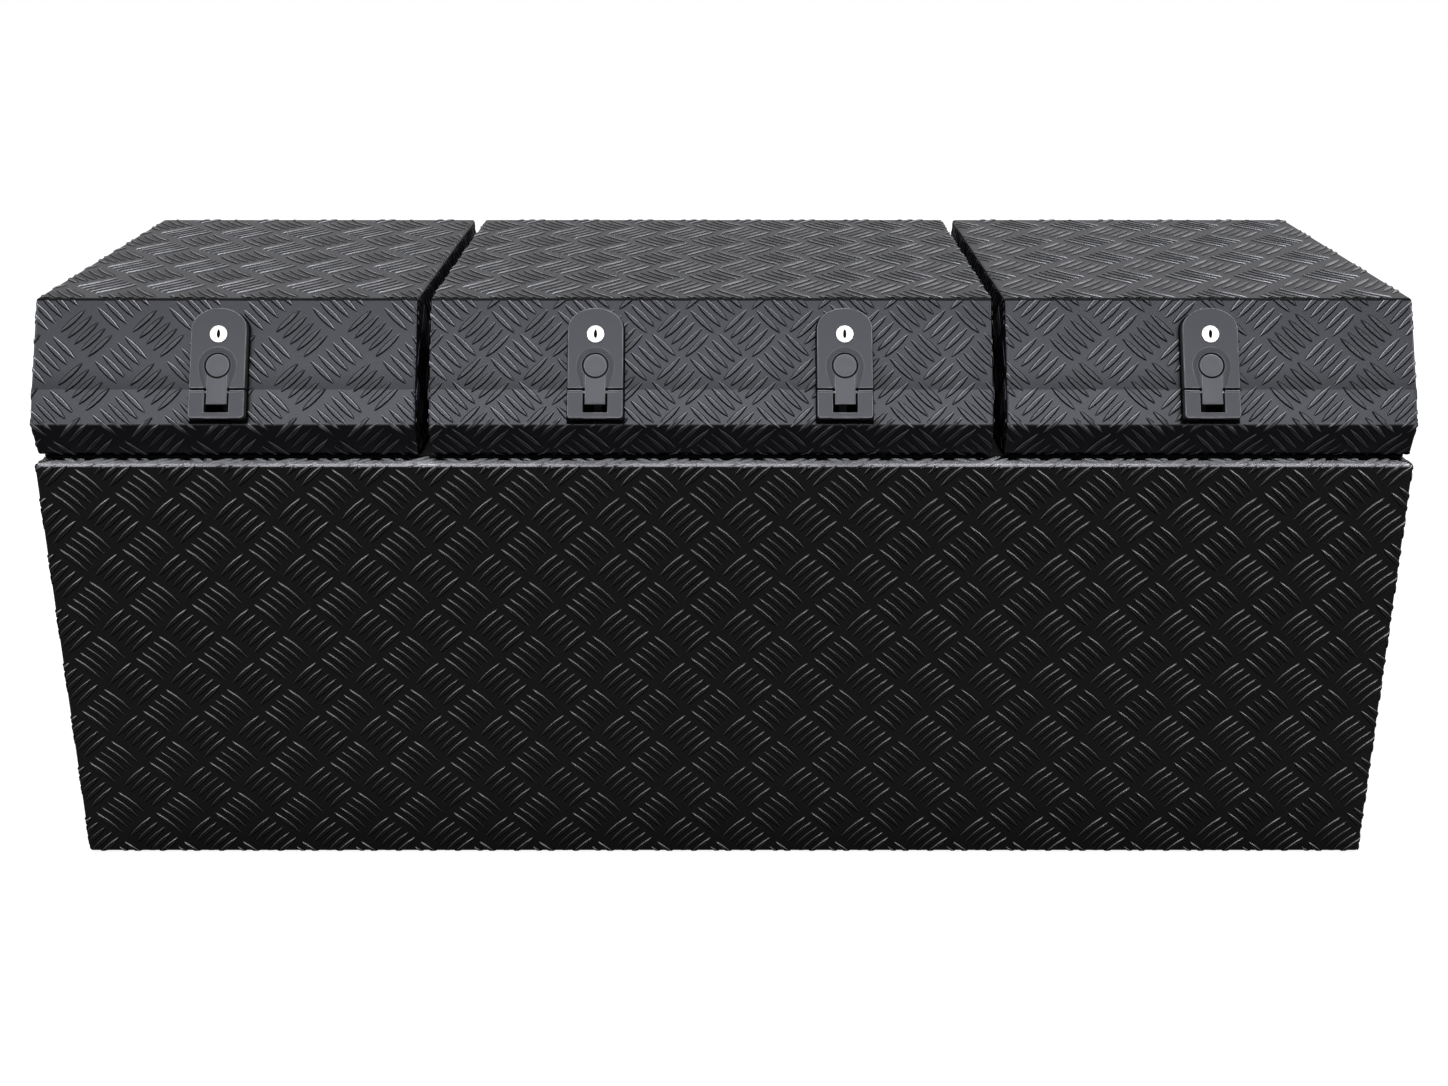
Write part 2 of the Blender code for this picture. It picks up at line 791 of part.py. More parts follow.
def bracket_mesh(standoff, head):
    """A plate on a wall at x = 0 with a stud along +X that reaches to the standoff.

    The stud of the foot runs through the eye of the strut and ends in a head.
    """
    plate = box(
        (clearance, -bracket_depth / 2, -bracket_height / 2),
        (clearance + bracket_thickness, bracket_depth / 2, bracket_height / 2))
    start = clearance + bracket_thickness / 2
    near_face = standoff - eye_thickness / 2 - clearance
    far_face = standoff + eye_thickness / 2 + clearance
    if not head:
        return combined(plate, joins=[rod((start, 0.0, 0.0), (near_face, 0.0, 0.0), stud_radius)])
    stud = rod((start, 0.0, 0.0), (far_face + stud_head_thickness / 2, 0.0, 0.0), stud_radius)
    cap = rod(
        (far_face, 0.0, 0.0), (far_face + stud_head_thickness, 0.0, 0.0), stud_head_radius)
    return combined(plate, joins=[stud, cap])


def tube_mesh(closed_length):
    """The strut's tube with its eye at the origin, open where the rod comes out."""
    end = closed_length - strut_rod_showing
    body = rod(
        (0.0, 0.0, strut_tube_start), (0.0, 0.0, end), strut_tube_radius, medium_round_sides)
    neck = rod(
        (0.0, 0.0, eye_radius - strut_cap / 2), (0.0, 0.0, strut_tube_start + strut_cap / 2),
        strut_neck_radius)
    eye = rod(
        (-eye_thickness / 2, 0.0, 0.0), (eye_thickness / 2, 0.0, 0.0), eye_radius,
        medium_round_sides)
    bore = rod(
        (0.0, 0.0, strut_tube_start + strut_cap), (0.0, 0.0, end - strut_gland),
        strut_tube_radius - strut_wall, medium_round_sides)
    gland = rod(
        (0.0, 0.0, end - strut_gland - overrun), (0.0, 0.0, end + overrun),
        strut_rod_radius + clearance)
    hole = rod(
        (-eye_thickness, 0.0, 0.0), (eye_thickness, 0.0, 0.0), stud_radius + clearance)
    return combined(body, joins=[neck, eye], cuts=[bore, gland, hole])


def strut_rod_mesh(closed_length):
    """The strut's rod with its piston, and its eye at the origin with a pin's head on it."""
    bottom = strut_tube_start + strut_cap + strut_piston_gap - closed_length
    shaft = rod((0.0, 0.0, bottom + strut_piston_length / 2), (0.0, 0.0, 0.0), strut_rod_radius)
    piston = rod(
        (0.0, 0.0, bottom), (0.0, 0.0, bottom + strut_piston_length),
        strut_tube_radius - strut_wall - clearance, medium_round_sides)
    eye = rod(
        (-eye_thickness / 2, 0.0, 0.0), (eye_thickness / 2, 0.0, 0.0), eye_radius,
        medium_round_sides)
    head = rod(
        (0.0, 0.0, 0.0), (eye_thickness / 2 + stud_head_thickness, 0.0, 0.0), stud_head_radius)
    return combined(shaft, joins=[piston, eye, head])


def build_struts():
    """Gas struts: one for each side lid, at its outer wall, and two for the middle lid."""
    offset = strut_tube_radius + strut_clear
    ends = [
        (left + sheet, left + side_rim + offset, left + sheet, 1),
        (divider_places["left"] + web_thickness / 2, divider_places["left"] + flange_half + offset,
         lid_spans["middle"][0] + sheet, 1),
        (divider_places["right"] - web_thickness / 2, divider_places["right"] - flange_half - offset,
         lid_spans["middle"][1] - sheet, -1),
        (-left - sheet, -left - side_rim - offset, -left - sheet, -1),
    ]
    foot_y = hinge_y - foot_setback_share * box_depth
    foot_z = hinge_z - foot_drop
    stud_y = front + stud_place_share * box_depth
    stud_z = lid_base + stud_rise
    run = foot_y - stud_y
    rise = stud_z - foot_z
    closed_length = math.hypot(run, rise)
    lean = math.atan2(run, rise)
    tube = tube_mesh(closed_length)
    strut_rod = strut_rod_mesh(closed_length)
    for number, (foot_wall, plane, lid_wall, way) in enumerate(ends, start=1):
        tag = "_" + str(number)
        foot = bracket_mesh(abs(plane - foot_wall), True)
        stud = bracket_mesh(abs(plane - lid_wall), False)
        shaft = strut_rod
        if way < 0:
            foot = flipped(foot)
            stud = flipped(stud)
            shaft = flipped(strut_rod)
        piece("strut_foot" + tag, foot, "steel", (foot_wall, foot_y, foot_z))
        piece("strut_stud" + tag, stud, "steel", (lid_wall, stud_y, stud_z))
        carrier = frame_at("strut_frame" + tag, (plane, foot_y, foot_z), lean)
        piece("strut_tube" + tag, tube, "strut_black", parent=carrier)
        piece("strut_rod" + tag, shaft, "bright_metal", (0.0, 0.0, closed_length), carrier)


clear_scene()
parts = bpy.data.collections.new("caravan_tool_box")
workshop = bpy.data.collections.new("workshop")
for collection in (parts, workshop):
    bpy.context.scene.collection.children.link(collection)
build_tub()
for side in divider_places:
    build_divider(side)
for side in lid_spans:
    build_lid(side)
    build_seal(side)
    build_hinge(side)
build_latches()
build_struts()
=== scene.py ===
"""Looks of the caravan tool box: black tread plate, grey latches and bright locks, in a studio."""

import math

import bmesh
import bpy
import numpy as np
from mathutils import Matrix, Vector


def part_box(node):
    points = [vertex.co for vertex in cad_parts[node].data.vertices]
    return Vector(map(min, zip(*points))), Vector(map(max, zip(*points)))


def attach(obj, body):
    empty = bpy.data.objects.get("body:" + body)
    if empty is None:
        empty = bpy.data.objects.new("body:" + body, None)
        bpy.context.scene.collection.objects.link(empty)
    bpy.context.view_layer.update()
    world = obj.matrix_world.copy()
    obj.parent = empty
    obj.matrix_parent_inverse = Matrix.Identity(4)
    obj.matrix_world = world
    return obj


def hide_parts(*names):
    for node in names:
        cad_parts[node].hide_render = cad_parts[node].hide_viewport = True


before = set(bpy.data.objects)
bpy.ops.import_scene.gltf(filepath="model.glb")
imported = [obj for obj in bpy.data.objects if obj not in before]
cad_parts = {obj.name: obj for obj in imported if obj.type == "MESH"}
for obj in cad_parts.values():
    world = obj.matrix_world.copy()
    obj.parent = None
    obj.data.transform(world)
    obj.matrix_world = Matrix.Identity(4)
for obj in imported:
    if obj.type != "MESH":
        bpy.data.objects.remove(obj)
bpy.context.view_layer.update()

# Studio: the box stands on a white floor in an evenly white room, seen from in front and a little
# above. Reflections see a share of the room and little of the floor, so the flat tops shine and
# the upright front stays nearly black, while softboxes in front light the slopes and edges.
camera_distance = 1.966
camera_height = 1.007
camera_pitch = 20.6
camera_lens = 44.155
camera_reach = 60.0
floor_size = 14.0
floor_drop = 0.0005
floor_grey = (0.05, 0.05, 0.05, 1.0)
floor_seen = (0.16, 0.16, 0.16, 1.0)
floor_glow = 0.90
floor_mirror = 0.04
glow_near = 1.1
glow_far = 3.0
air_white = (1.0, 1.0, 1.0, 1.0)
air_glow = 0.15
air_mirror = 0.38
lamp_target = (0.0, -0.15, 0.40)
lamps = [
    ("front_softbox", 0.0, 36.0, 4.0, (5.0, 1.3), 94.0),
    ("top_softbox", 0.0, 97.0, 3.0, (4.0, 1.2), 245.0),
    ("left_softbox", -72.0, 28.0, 4.2, (1.6, 1.6), 45.0),
    ("right_softbox", 72.0, 28.0, 4.2, (1.6, 1.6), 45.0)]

scene = bpy.context.scene
scene.view_settings.view_transform = "Standard"
camera = bpy.data.objects.new("camera", bpy.data.cameras.new("camera"))
camera.data.lens = camera_lens
camera.data.clip_end = camera_reach
camera.location = (0.0, -camera_distance, camera_height)
camera.rotation_euler = (math.radians(90.0 - camera_pitch), 0.0, 0.0)
scene.collection.objects.link(camera)
scene.camera = camera

for lamp_name, azimuth, elevation, distance, size, power in lamps:
    azimuth, elevation = math.radians(azimuth), math.radians(elevation)
    lamp = bpy.data.lights.new(lamp_name, "AREA")
    lamp.shape = "RECTANGLE"
    lamp.size, lamp.size_y = size
    lamp.energy = power
    holder = bpy.data.objects.new(lamp_name, lamp)
    level = distance * math.cos(elevation)
    holder.location = (
        lamp_target[0] + level * math.sin(azimuth), lamp_target[1] - level * math.cos(azimuth),
        lamp_target[2] + distance * math.sin(elevation))
    holder.rotation_euler = (math.pi / 2 - elevation, 0.0, azimuth)
    holder.visible_camera = False
    scene.collection.objects.link(holder)


def new_material(name):
    """A material, its node tree and its shader."""
    material = bpy.data.materials.new(name)
    material.use_nodes = True
    return material, material.node_tree, material.node_tree.nodes["Principled BSDF"]


def feed(tree, socket, value):
    """Links a node's output to a socket, or sets the socket to a number or a colour."""
    if isinstance(value, bpy.types.NodeSocket):
        tree.links.new(value, socket)
    else:
        socket.default_value = value


def maths(tree, operation, first, second, clamped=False):
    """The result of an operation on two values, each a number or a node's output."""
    node = tree.nodes.new("ShaderNodeMath")
    node.operation = operation
    node.use_clamp = clamped
    feed(tree, node.inputs[0], first)
    feed(tree, node.inputs[1], second)
    return node.outputs[0]


def ramp(tree, value, start, end, low, high):
    """A number that runs from low to high while the value runs from start to end."""
    node = tree.nodes.new("ShaderNodeMapRange")
    sockets = ("Value", "From Min", "From Max", "To Min", "To Max")
    for socket, number in zip(sockets, (value, start, end, low, high)):
        feed(tree, node.inputs[socket], number)
    return node.outputs["Result"]


def blend(tree, share, first, second):
    """A colour that goes from the first to the second as the share goes from 0 to 1."""
    node = tree.nodes.new("ShaderNodeMix")
    node.data_type = "RGBA"
    for socket, value in zip(("Factor", "A", "B"), (share, first, second)):
        feed(tree, node.inputs[socket], value)
    return node.outputs["Result"]


def place_on(tree):
    """The point's place on the object, for patterns."""
    return tree.nodes.new("ShaderNodeTexCoord").outputs["Object"]


def seen_share(tree, mirror):
    """1 for a ray that shows the background to the camera or through glass, the mirror's share
    for a ray that shows it in a reflection, else 0."""
    path = tree.nodes.new("ShaderNodeLightPath").outputs
    direct = maths(tree, "MAXIMUM", path["Is Camera Ray"], path["Is Transmission Ray"])
    mirrored = maths(tree, "MULTIPLY", path["Is Glossy Ray"], mirror)
    return maths(tree, "MAXIMUM", direct, mirrored)


scene.world = bpy.data.worlds.new("studio_air")
scene.world.use_nodes = True
tree = scene.world.node_tree
air = tree.nodes["Background"].inputs
air["Color"].default_value = air_white
feed(tree, air["Strength"], ramp(tree, seen_share(tree, air_mirror), 0.0, 1.0, air_glow, 1.0))

floor_paint, tree, paint = new_material("floor_paint")
paint.inputs["Roughness"].default_value = 1.0
paint.inputs["Specular IOR Level"].default_value = 0.0
paint.inputs["Emission Color"].default_value = air_white
share = seen_share(tree, floor_mirror)
feed(tree, paint.inputs["Base Color"], blend(tree, share, floor_grey, floor_seen))
away = tree.nodes.new("ShaderNodeVectorMath")
away.operation = "LENGTH"
feed(tree, away.inputs[0], place_on(tree))
glow = ramp(tree, away.outputs["Value"], glow_near, glow_far, floor_glow, 1.0)
feed(tree, paint.inputs["Emission Strength"], maths(tree, "MULTIPLY", glow, share))

half = floor_size / 2
floor_mesh = bpy.data.meshes.new("floor")
floor_mesh.from_pydata(
    [(x * half, y * half, -floor_drop) for x, y in ((-1, -1), (1, -1), (1, 1), (-1, 1))], [],
    [(0, 1, 2, 3)])
floor_mesh.materials.append(floor_paint)
floor = bpy.data.objects.new("floor", floor_mesh)
scene.collection.objects.link(floor)

# Tub: one aluminium tread plate blank, folded up at the four walls and turned in at the top as a
# rim with a lip. It is powder coated black after it is folded. Painted shade darkens and dulls the
# feet of its bars, and a painted highlight makes the rim in front pale.
plate_thickness = 0.003
plate_rise = 0.0011
plate_bend = 0.005
front_rim = 0.030
side_rim = 0.018
lip_depth = 0.015
bend_steps = 6
support = 0.0005
sharp_edge = 32.0
# A painted highlight along the front rim: a strip from just over the top bend to this inset,
# painted pale up to the brightest tone.
rim_highlight_start = 0.0015
rim_highlight_width = 0.0135
rim_highlight = 2.0
quarter = math.pi / 2
cloud_scale = 9.0
patch_scale = 70.0
powder_scale = 1100.0
patch_low = 0.35
patch_high = 0.65
powder_low = 0.3
powder_high = 0.7
powder_spread = 0.04
# Painted light: a paler tone for painted highlights and a brighter one where they are brightest, a
# near-black tone for painted shade, and a low shine that painted shade and dull rubber share.
highlight_tone = (0.120, 0.120, 0.126, 1.0)
brightest_tone = (0.260, 0.263, 0.285, 1.0)
shade_tone = (0.0008, 0.0008, 0.0008, 1.0)
full_shine = 0.5
low_shine = 0.03


def box_corners(node):
    """The lowest and the highest corner of a CAD node."""
    return [np.array(corner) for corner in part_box(node)]


def folded_path(corners, radii):
    """A closed path, anticlockwise, of straight sides with a round bend at each corner.

    Each stretch has its start, its heading and its curvature, which is negative in a corner that
    turns inwards. A bend of radius r that turns by an angle takes r times the tangent of half
    that angle off both of its sides.
    """
    corners = np.array(corners, float)
    radii = np.array(radii, float)
    sides = np.roll(corners, -1, axis=0) - corners
    lengths = np.hypot(sides[:, 0], sides[:, 1])
    units = sides / lengths[:, None]
    headings = np.arctan2(sides[:, 1], sides[:, 0])
    turns = (headings - np.roll(headings, 1) + math.pi) % math.tau - math.pi
    trims = radii * np.tan(np.abs(turns) / 2)
    straights = lengths - trims - np.roll(trims, -1)
    bends = np.roll(radii * np.abs(turns), -1)
    starts = np.concatenate([[0.0], np.cumsum(np.column_stack([straights, bends]).ravel())])
    after = corners + units * trims[:, None]
    before = np.roll(corners, -1, axis=0) - units * np.roll(trims, -1)[:, None]
    points = np.stack([after, before], axis=1).reshape(-1, 2)
    curvatures = np.column_stack(
        [np.zeros(len(radii)), np.roll(np.sign(turns) / radii, -1)]).ravel()
    return {"starts": starts, "points": points, "headings": np.repeat(headings, 2),
            "curvatures": curvatures}


def rounded_rectangle(low, high, radius):
    """A folded path round the rectangle between two corners."""
    return folded_path(
        [(low[0], low[1]), (high[0], low[1]), (high[0], high[1]), (low[0], high[1])],
        [radius] * 4)


def along(path, t):
    """Points of a folded path and its outward normals, at lengths t from its start.

    A stretch of length l that turns by an angle a is a chord of l sin(a/2)/(a/2) at half of a
    to its heading, which is l itself where the stretch is straight.
    """
    t = np.mod(t, path["starts"][-1])
    k = np.searchsorted(path["starts"], t, side="right") - 1
    k = np.clip(k, 0, len(path["headings"]) - 1)
    run = t - path["starts"][k]
    turn = run * path["curvatures"][k]
    half_way = path["headings"][k] + turn / 2
    chord = run * np.sinc(turn / math.tau)
    points = path["points"][k] + chord[..., None] * np.stack(
        [np.cos(half_way), np.sin(half_way)], axis=-1)
    heading = path["headings"][k] + turn
    return points, np.stack([np.sin(heading), -np.cos(heading)], axis=-1)


def path_stations(path, extra=()):
    """Lengths at which a path gets a row of points: the bends in steps, a line just outside
    each bend that keeps the flats flat in the shading, and any extra lines."""
    starts = path["starts"]
    lines = [np.array(extra, float)]
    for start, end, curvature in zip(starts[:-1], starts[1:], path["curvatures"]):
        if curvature != 0:
            turn = (end - start) * abs(curvature)
            steps = max(2, math.ceil(bend_steps * turn / quarter))
            lines.append(np.linspace(start, end, steps + 1))
            lines.append(np.array([start - support, end + support]))
    rows = np.mod(np.concatenate(lines), starts[-1])
    rows = np.unique(np.round(rows, 7))
    return rows[rows < starts[-1] - support / 10]


def grid_faces(rows, columns, closed_rows=False, closed_columns=False):
    """Four-cornered faces between neighbouring points of a grid, row by row."""
    i = np.arange(rows if closed_rows else rows - 1)
    j = np.arange(columns if closed_columns else columns - 1)
    i, j = np.meshgrid(i, j, indexing="ij")
    up, over = (i + 1) % rows, (j + 1) % columns
    corners = [i * columns + j, i * columns + over, up * columns + over, up * columns + j]
    return np.stack(corners, axis=-1).reshape(-1, 4)


def capped_faces(rows, columns):
    """The faces of a grid whose columns close round, with a cap on its first and last row."""
    ring = np.arange(columns)
    return [grid_faces(rows, columns, closed_columns=True),
            np.array([ring[::-1], (rows - 1) * columns + ring])]


def repeated(faces, count, step):
    """The faces of as many like shapes, each with its points a step after the last one's."""
    shifts = np.arange(count) * step
    return (faces[None] + shifts[:, None, None]).reshape(-1, faces.shape[1])


def make_piece(name, parts, finish, body, slot, *nodes):
    """A mesh piece that rides on a body, from parts of points, arrays of faces and painted light.

    The painted light of a point is a painted highlight above 0, 1 on a bright edge and 2 where it
    is brightest, and painted shade below 0, darkest at -1, and the finish reads it. A part whose
    volume, a sixth of the sum of a . (b x c) over its triangles, comes out negative has its faces
    turned round.
    """
    points, loops, sizes, painted_lights = [], [], [], []
    first = 0
    for shape, face_sets, painted_light in parts:
        shape = np.reshape(shape, (-1, 3))
        centred = shape - shape.mean(axis=0)
        volume = 0.0
        for faces in face_sets:
            a, b, c = centred[faces[:, :1]], centred[faces[:, 1:-1]], centred[faces[:, 2:]]
            volume += np.sum(a * np.cross(b, c))
        for faces in face_sets:
            turned = faces[:, ::-1] if volume < 0 else faces
            loops.append((turned + first).ravel())
            sizes.append(np.full(len(faces), faces.shape[1]))
        points.append(shape)
        painted_lights.append(np.ravel(painted_light) if np.ndim(painted_light) else np.full(len(shape), painted_light))
        first += len(shape)
    loops, sizes = np.concatenate(loops), np.concatenate(sizes)
    mesh = bpy.data.meshes.new(name)
    mesh.vertices.add(first)
    mesh.vertices.foreach_set("co", np.concatenate(points).ravel())
    mesh.loops.add(len(loops))
    mesh.loops.foreach_set("vertex_index", loops)
    mesh.polygons.add(len(sizes))
    mesh.polygons.foreach_set("loop_start", np.cumsum(sizes) - sizes)
    mesh.update(calc_edges=True)
    mesh.attributes.new("painted_light", "FLOAT", "POINT")
    mesh.attributes["painted_light"].data.foreach_set("value", np.concatenate(painted_lights))
    work = bmesh.new()
    work.from_mesh(mesh)
    bmesh.ops.remove_doubles(work, verts=work.verts, dist=support / 100)
    work.to_mesh(mesh)
    work.free()
    mesh.materials.append(finish)
    mesh.shade_smooth()
    mesh.set_sharp_from_angle(angle=math.radians(sharp_edge))
    piece = bpy.data.objects.new(name, mesh)
    scene.collection.objects.link(piece)
    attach(piece, body)
    if nodes:
        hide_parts(*nodes)


def noise(tree, place, scale, detail):
    """A soft random pattern, of about as many grains to a metre as the scale."""
    node = tree.nodes.new("ShaderNodeTexNoise")
    for socket, value in zip(("Vector", "Scale", "Detail"), (place, scale, detail)):
        feed(tree, node.inputs[socket], value)
    return node.outputs["Fac"]


def mottled(tree, share, colour, amount):
    """A colour that goes from darker to paler by an amount, as the share goes from 0 to 1."""
    tones = [(*[c * (1 + way * amount) for c in colour], 1.0) for way in (-1, 1)]
    return blend(tree, share, *tones)


def coat(name, colour, roughness, grain, mottle, tint=(1.0, 1.0, 1.0), shine=None):
    """Powder coat: a dark base colour with faint clouds, and the fine grain of the cured powder
    as bump and as a change in roughness. Where a point's painted light is above 0 the coat is
    painted paler, in patches, as a painted highlight that is brightest at 2, and where it is below
    0 it is painted darker and dull as painted shade. The tint colours its reflections, a painted
    bluish sky light where a bluish tint is given. A finish that never gets painted shade has its
    shine given, and the same all over."""
    material, tree, shader = new_material(name)
    shader.inputs["Specular Tint"].default_value = (*tint, 1.0)
    place = place_on(tree)
    powder = noise(tree, place, powder_scale, 2.0)
    attribute = tree.nodes.new("ShaderNodeAttribute")
    attribute.attribute_name = "painted_light"
    painted_light = attribute.outputs["Fac"]
    patches = ramp(
        tree, noise(tree, place, patch_scale, 2.0), patch_low, patch_high, patch_low, 1.0)
    highlighted = maths(tree, "MULTIPLY", painted_light, patches, clamped=True)
    brightest = maths(tree, "SUBTRACT", painted_light, 1.0, clamped=True)
    shaded = maths(tree, "MULTIPLY", painted_light, -1.0, clamped=True)
    base = mottled(tree, noise(tree, place, cloud_scale, 5.0), colour, mottle)
    for share, tone in ((highlighted, highlight_tone), (brightest, brightest_tone), (shaded, shade_tone)):
        base = blend(tree, share, base, tone)
    feed(tree, shader.inputs["Base Color"], base)
    if shine is None:
        shine = ramp(tree, shaded, 0.0, 1.0, full_shine, low_shine)
        shine.node.name = "shine"
    feed(tree, shader.inputs["Specular IOR Level"], shine)
    feed(tree, shader.inputs["Roughness"], ramp(
        tree, powder, powder_low, powder_high, roughness - powder_spread,
        roughness + powder_spread))
    relief = tree.nodes.new("ShaderNodeBump")
    relief.inputs["Distance"].default_value = grain
    feed(tree, relief.inputs["Height"], powder)
    feed(tree, shader.inputs["Normal"], relief.outputs["Normal"])
    return material


tub_low, tub_high = box_corners("tub")
base_low = tub_low[:2] + plate_bend
base_high = tub_high[:2] - plate_bend
wall_low = tub_low[2] + plate_bend
wall_high = tub_high[2] - plate_bend
rim_start = wall_high + plate_bend * quarter
tub_plan = rounded_rectangle(tub_low, tub_high, plate_bend)


def tub_wall(u, t, h):
    """Point of the tub's walls: u along the plan, t up the wall, over the top bend and onto the
    rim, h out of the surface. In a bend of radius r at angle a the point moves out by
    (r + h) cos a - r and up by (r + h) sin a."""
    points, normals = along(tub_plan, u)
    over = np.clip((t - wall_high) / plate_bend, 0.0, quarter)
    under = np.clip((wall_low - t) / plate_bend, 0.0, quarter)
    inward = np.clip(t - wall_high - plate_bend * quarter, 0.0, None)
    out = (plate_bend + h) * np.cos(over + under) - plate_bend - inward
    up = np.clip(t, wall_low, wall_high) + (plate_bend + h) * (np.sin(over) - np.sin(under))
    flat = points + normals * out[..., None]
    return np.concatenate([flat, up[..., None]], axis=-1)


def tub_ring(u, low, high, z):
    """The plan's stations drawn on a rectangle between two corners, at one height."""
    points, normals = along(tub_plan, u)
    share = (points - normals * plate_bend - base_low) / (base_high - base_low)
    flat = np.array(low) + share * (np.array(high) - np.array(low))
    return np.concatenate([flat, np.full((len(u), 1), z)], axis=-1)


def tub_skin():
    """The whole tub as rings of the plan: from the floor's middle outside, up the wall, over
    the rim and down the lip, then back inside to the floor's middle again."""
    u = path_stations(tub_plan)
    bend = np.linspace(wall_low - plate_bend * quarter, wall_low, bend_steps + 1)
    top = np.linspace(wall_high, rim_start, bend_steps + 1)
    heights = np.concatenate([bend, [wall_low + support, wall_high - support], top])
    t_grid, u_grid = np.meshgrid(heights, u, indexing="ij")
    mouth_low = tub_low[:2] + np.array([side_rim, front_rim])
    mouth_high = tub_high[:2] - side_rim
    rim_z = tub_high[2] - plate_rise
    lip_z = tub_high[2] - lip_depth
    rings = [tub_ring(u, base_low + support, base_high - support, tub_low[2] + plate_rise)]
    rings += list(tub_wall(u_grid, t_grid, -plate_rise))
    # Rings at the inner border of the rim's painted highlight.
    for inset in (rim_highlight_width, rim_highlight_width + support):
        rings.append(tub_ring(u, tub_low[:2] + inset, tub_high[:2] - inset, rim_z))
    for gap, z in ((-support, rim_z), (0.0, rim_z - support), (0.0, lip_z),
                   (-plate_thickness, lip_z), (-plate_thickness, tub_high[2] - plate_thickness)):
        rings.append(tub_ring(u, mouth_low + gap, mouth_high - gap, z))
    rings += list(tub_wall(u_grid, t_grid, -plate_thickness))[::-1]
    rings.append(tub_ring(
        u, base_low + support, base_high - support, tub_low[2] + plate_thickness))
    # The painted highlight on the front rim, on the front side only.
    ring = np.arange(len(rings))[:, None]
    first_highlighted_ring = 1 + np.searchsorted(heights, wall_high + rim_highlight_start)
    in_front = (u < tub_plan["starts"][1])[None, :]
    painted_light = rim_highlight * ((ring >= first_highlighted_ring) & (ring <= len(heights) + 1) & in_front)
    return np.stack(rings), capped_faces(len(rings), len(u)), painted_light


tread_coat = coat(
    "tread_coat", (0.0020, 0.0020, 0.0025), roughness=0.28, grain=0.00003, mottle=0.20)
make_piece("tub_plate", [tub_skin()], tread_coat, "tub", "tread_plate", "tub")

# Tread bars of the tub: lens shapes in groups of five, turned one way and the other like a
# chequerboard. They are rolled into the plate before it is folded: each is a flat-topped ridge
# with sloping sides and a fillet at its foot.
bar_flank = 0.0010
bar_land = 0.0006
bar_foot = 0.00015
bar_sink = 0.00003
tip_fullness = 0.001
bars_in_group = 5
shortest_bar = 0.14
inner_bar_height = 0.80
outer_bar_gain = 0.10
# Painted highlight on the bars: more on the outer bars of a group, and on a wall's bars more
# toward their upper ends, as if lit from above.
inner_bar_highlight = 0.25
outer_bar_highlight = 0.12
upper_end_gain = 2.4
upper_end_fall = 1.5
least_climb = 1e-7
# The tub bars' painted light: highlights on the edges, painted shade on the fillets, favouring the
# upper end and upper side.
tub_bar = {
    "width": 0.0054, "fullness": 0.60, "stations": 6, "skirt": 0.0008, "skirt_shade": -0.5,
    "edge": 1.7, "crown": 0.0, "upper_end": 0.85, "upper_side": 0.6}
tub_pitch = (0.0650, 0.0615)
tub_run = (0.0262, -0.0245)
tub_shift = (0.0067, 0.0063)
pattern_across = {"front": 0.5565, "right": 0.020, "back": 0.031, "left": 0.020}
pattern_up = 0.4190
rim_widths = [front_rim, side_rim, side_rim, side_rim]
rim_highlight_rise = 0.0022


def bar_layout(low, high, pitch, phase, run, shift):
    """Places, directions, heights and painted highlights of all bars in a rectangle of the plate.

    Groups that lean left sit on a lattice of the pitch and those that lean right between them.
    Within a group the bars follow each other by the shift, and the outer ones stand highest and
    get the most painted highlight.
    """
    low, high, pitch, phase = np.array(low), np.array(high), np.array(pitch), np.array(phase)
    count = np.ceil((high - low) / pitch).astype(int) + 3
    first = np.floor((low - phase) / pitch) - 1
    i, j = np.meshgrid(np.arange(count[0]), np.arange(count[1]), indexing="ij")
    lattice = (phase + (first + np.stack([i, j], axis=-1)) * pitch).reshape(-1, 2)
    k = np.arange(bars_in_group) - (bars_in_group - 1) / 2
    centres, runs = [], []
    for offset, lean in ((0.0, 1.0), (0.5, -1.0)):
        groups = lattice + offset * pitch
        steps = k[:, None] * np.array(shift) * np.array([lean, 1.0])
        spots = (groups[:, None, :] + steps[None, :, :]).reshape(-1, 2)
        centres.append(spots)
        runs.append(np.tile(np.array(run) * np.array([lean, 1.0]), (len(spots), 1)))
    outness = np.tile(np.abs(k), len(lattice) * 2)
    return {
        "leans": np.repeat([1.0, -1.0], len(lattice) * bars_in_group),
        "centres": np.concatenate(centres), "runs": np.concatenate(runs),
        "heights": inner_bar_height + outer_bar_gain * outness,
        "painted_lights": inner_bar_highlight + outer_bar_highlight * outness}


def bar_half_width(v, bar):
    """Half the width of a bar at share v of its length: a lens, 0 at both tips."""
    lens = 4 * np.clip(v * (1 - v), 0.0, None) + tip_fullness
    return bar["width"] / 2 * lens ** bar["fullness"]


def bar_rails(half_width, bar):
    """Offsets of a bar's eight rails from its line, for an array of half widths: the fillet's
    outer line, the foot, the rubbed edge and the flat's border, on one side and on the other."""
    small = np.minimum(half_width / bar_flank, 1.0)
    edge = np.clip(half_width - bar_flank, 0.0, None)
    border = np.clip(edge - bar_land, 0.0, None)
    side = np.stack([half_width + bar["skirt"] * small, half_width, edge, border], axis=-1)
    return np.concatenate([-side, side[..., ::-1]], axis=-1), small


def bar_across(runs):
    """Unit directions at right angles to the bars."""
    across = np.stack([-runs[:, 1], runs[:, 0]], axis=-1)
    return across / np.linalg.norm(across, axis=1)[:, None]


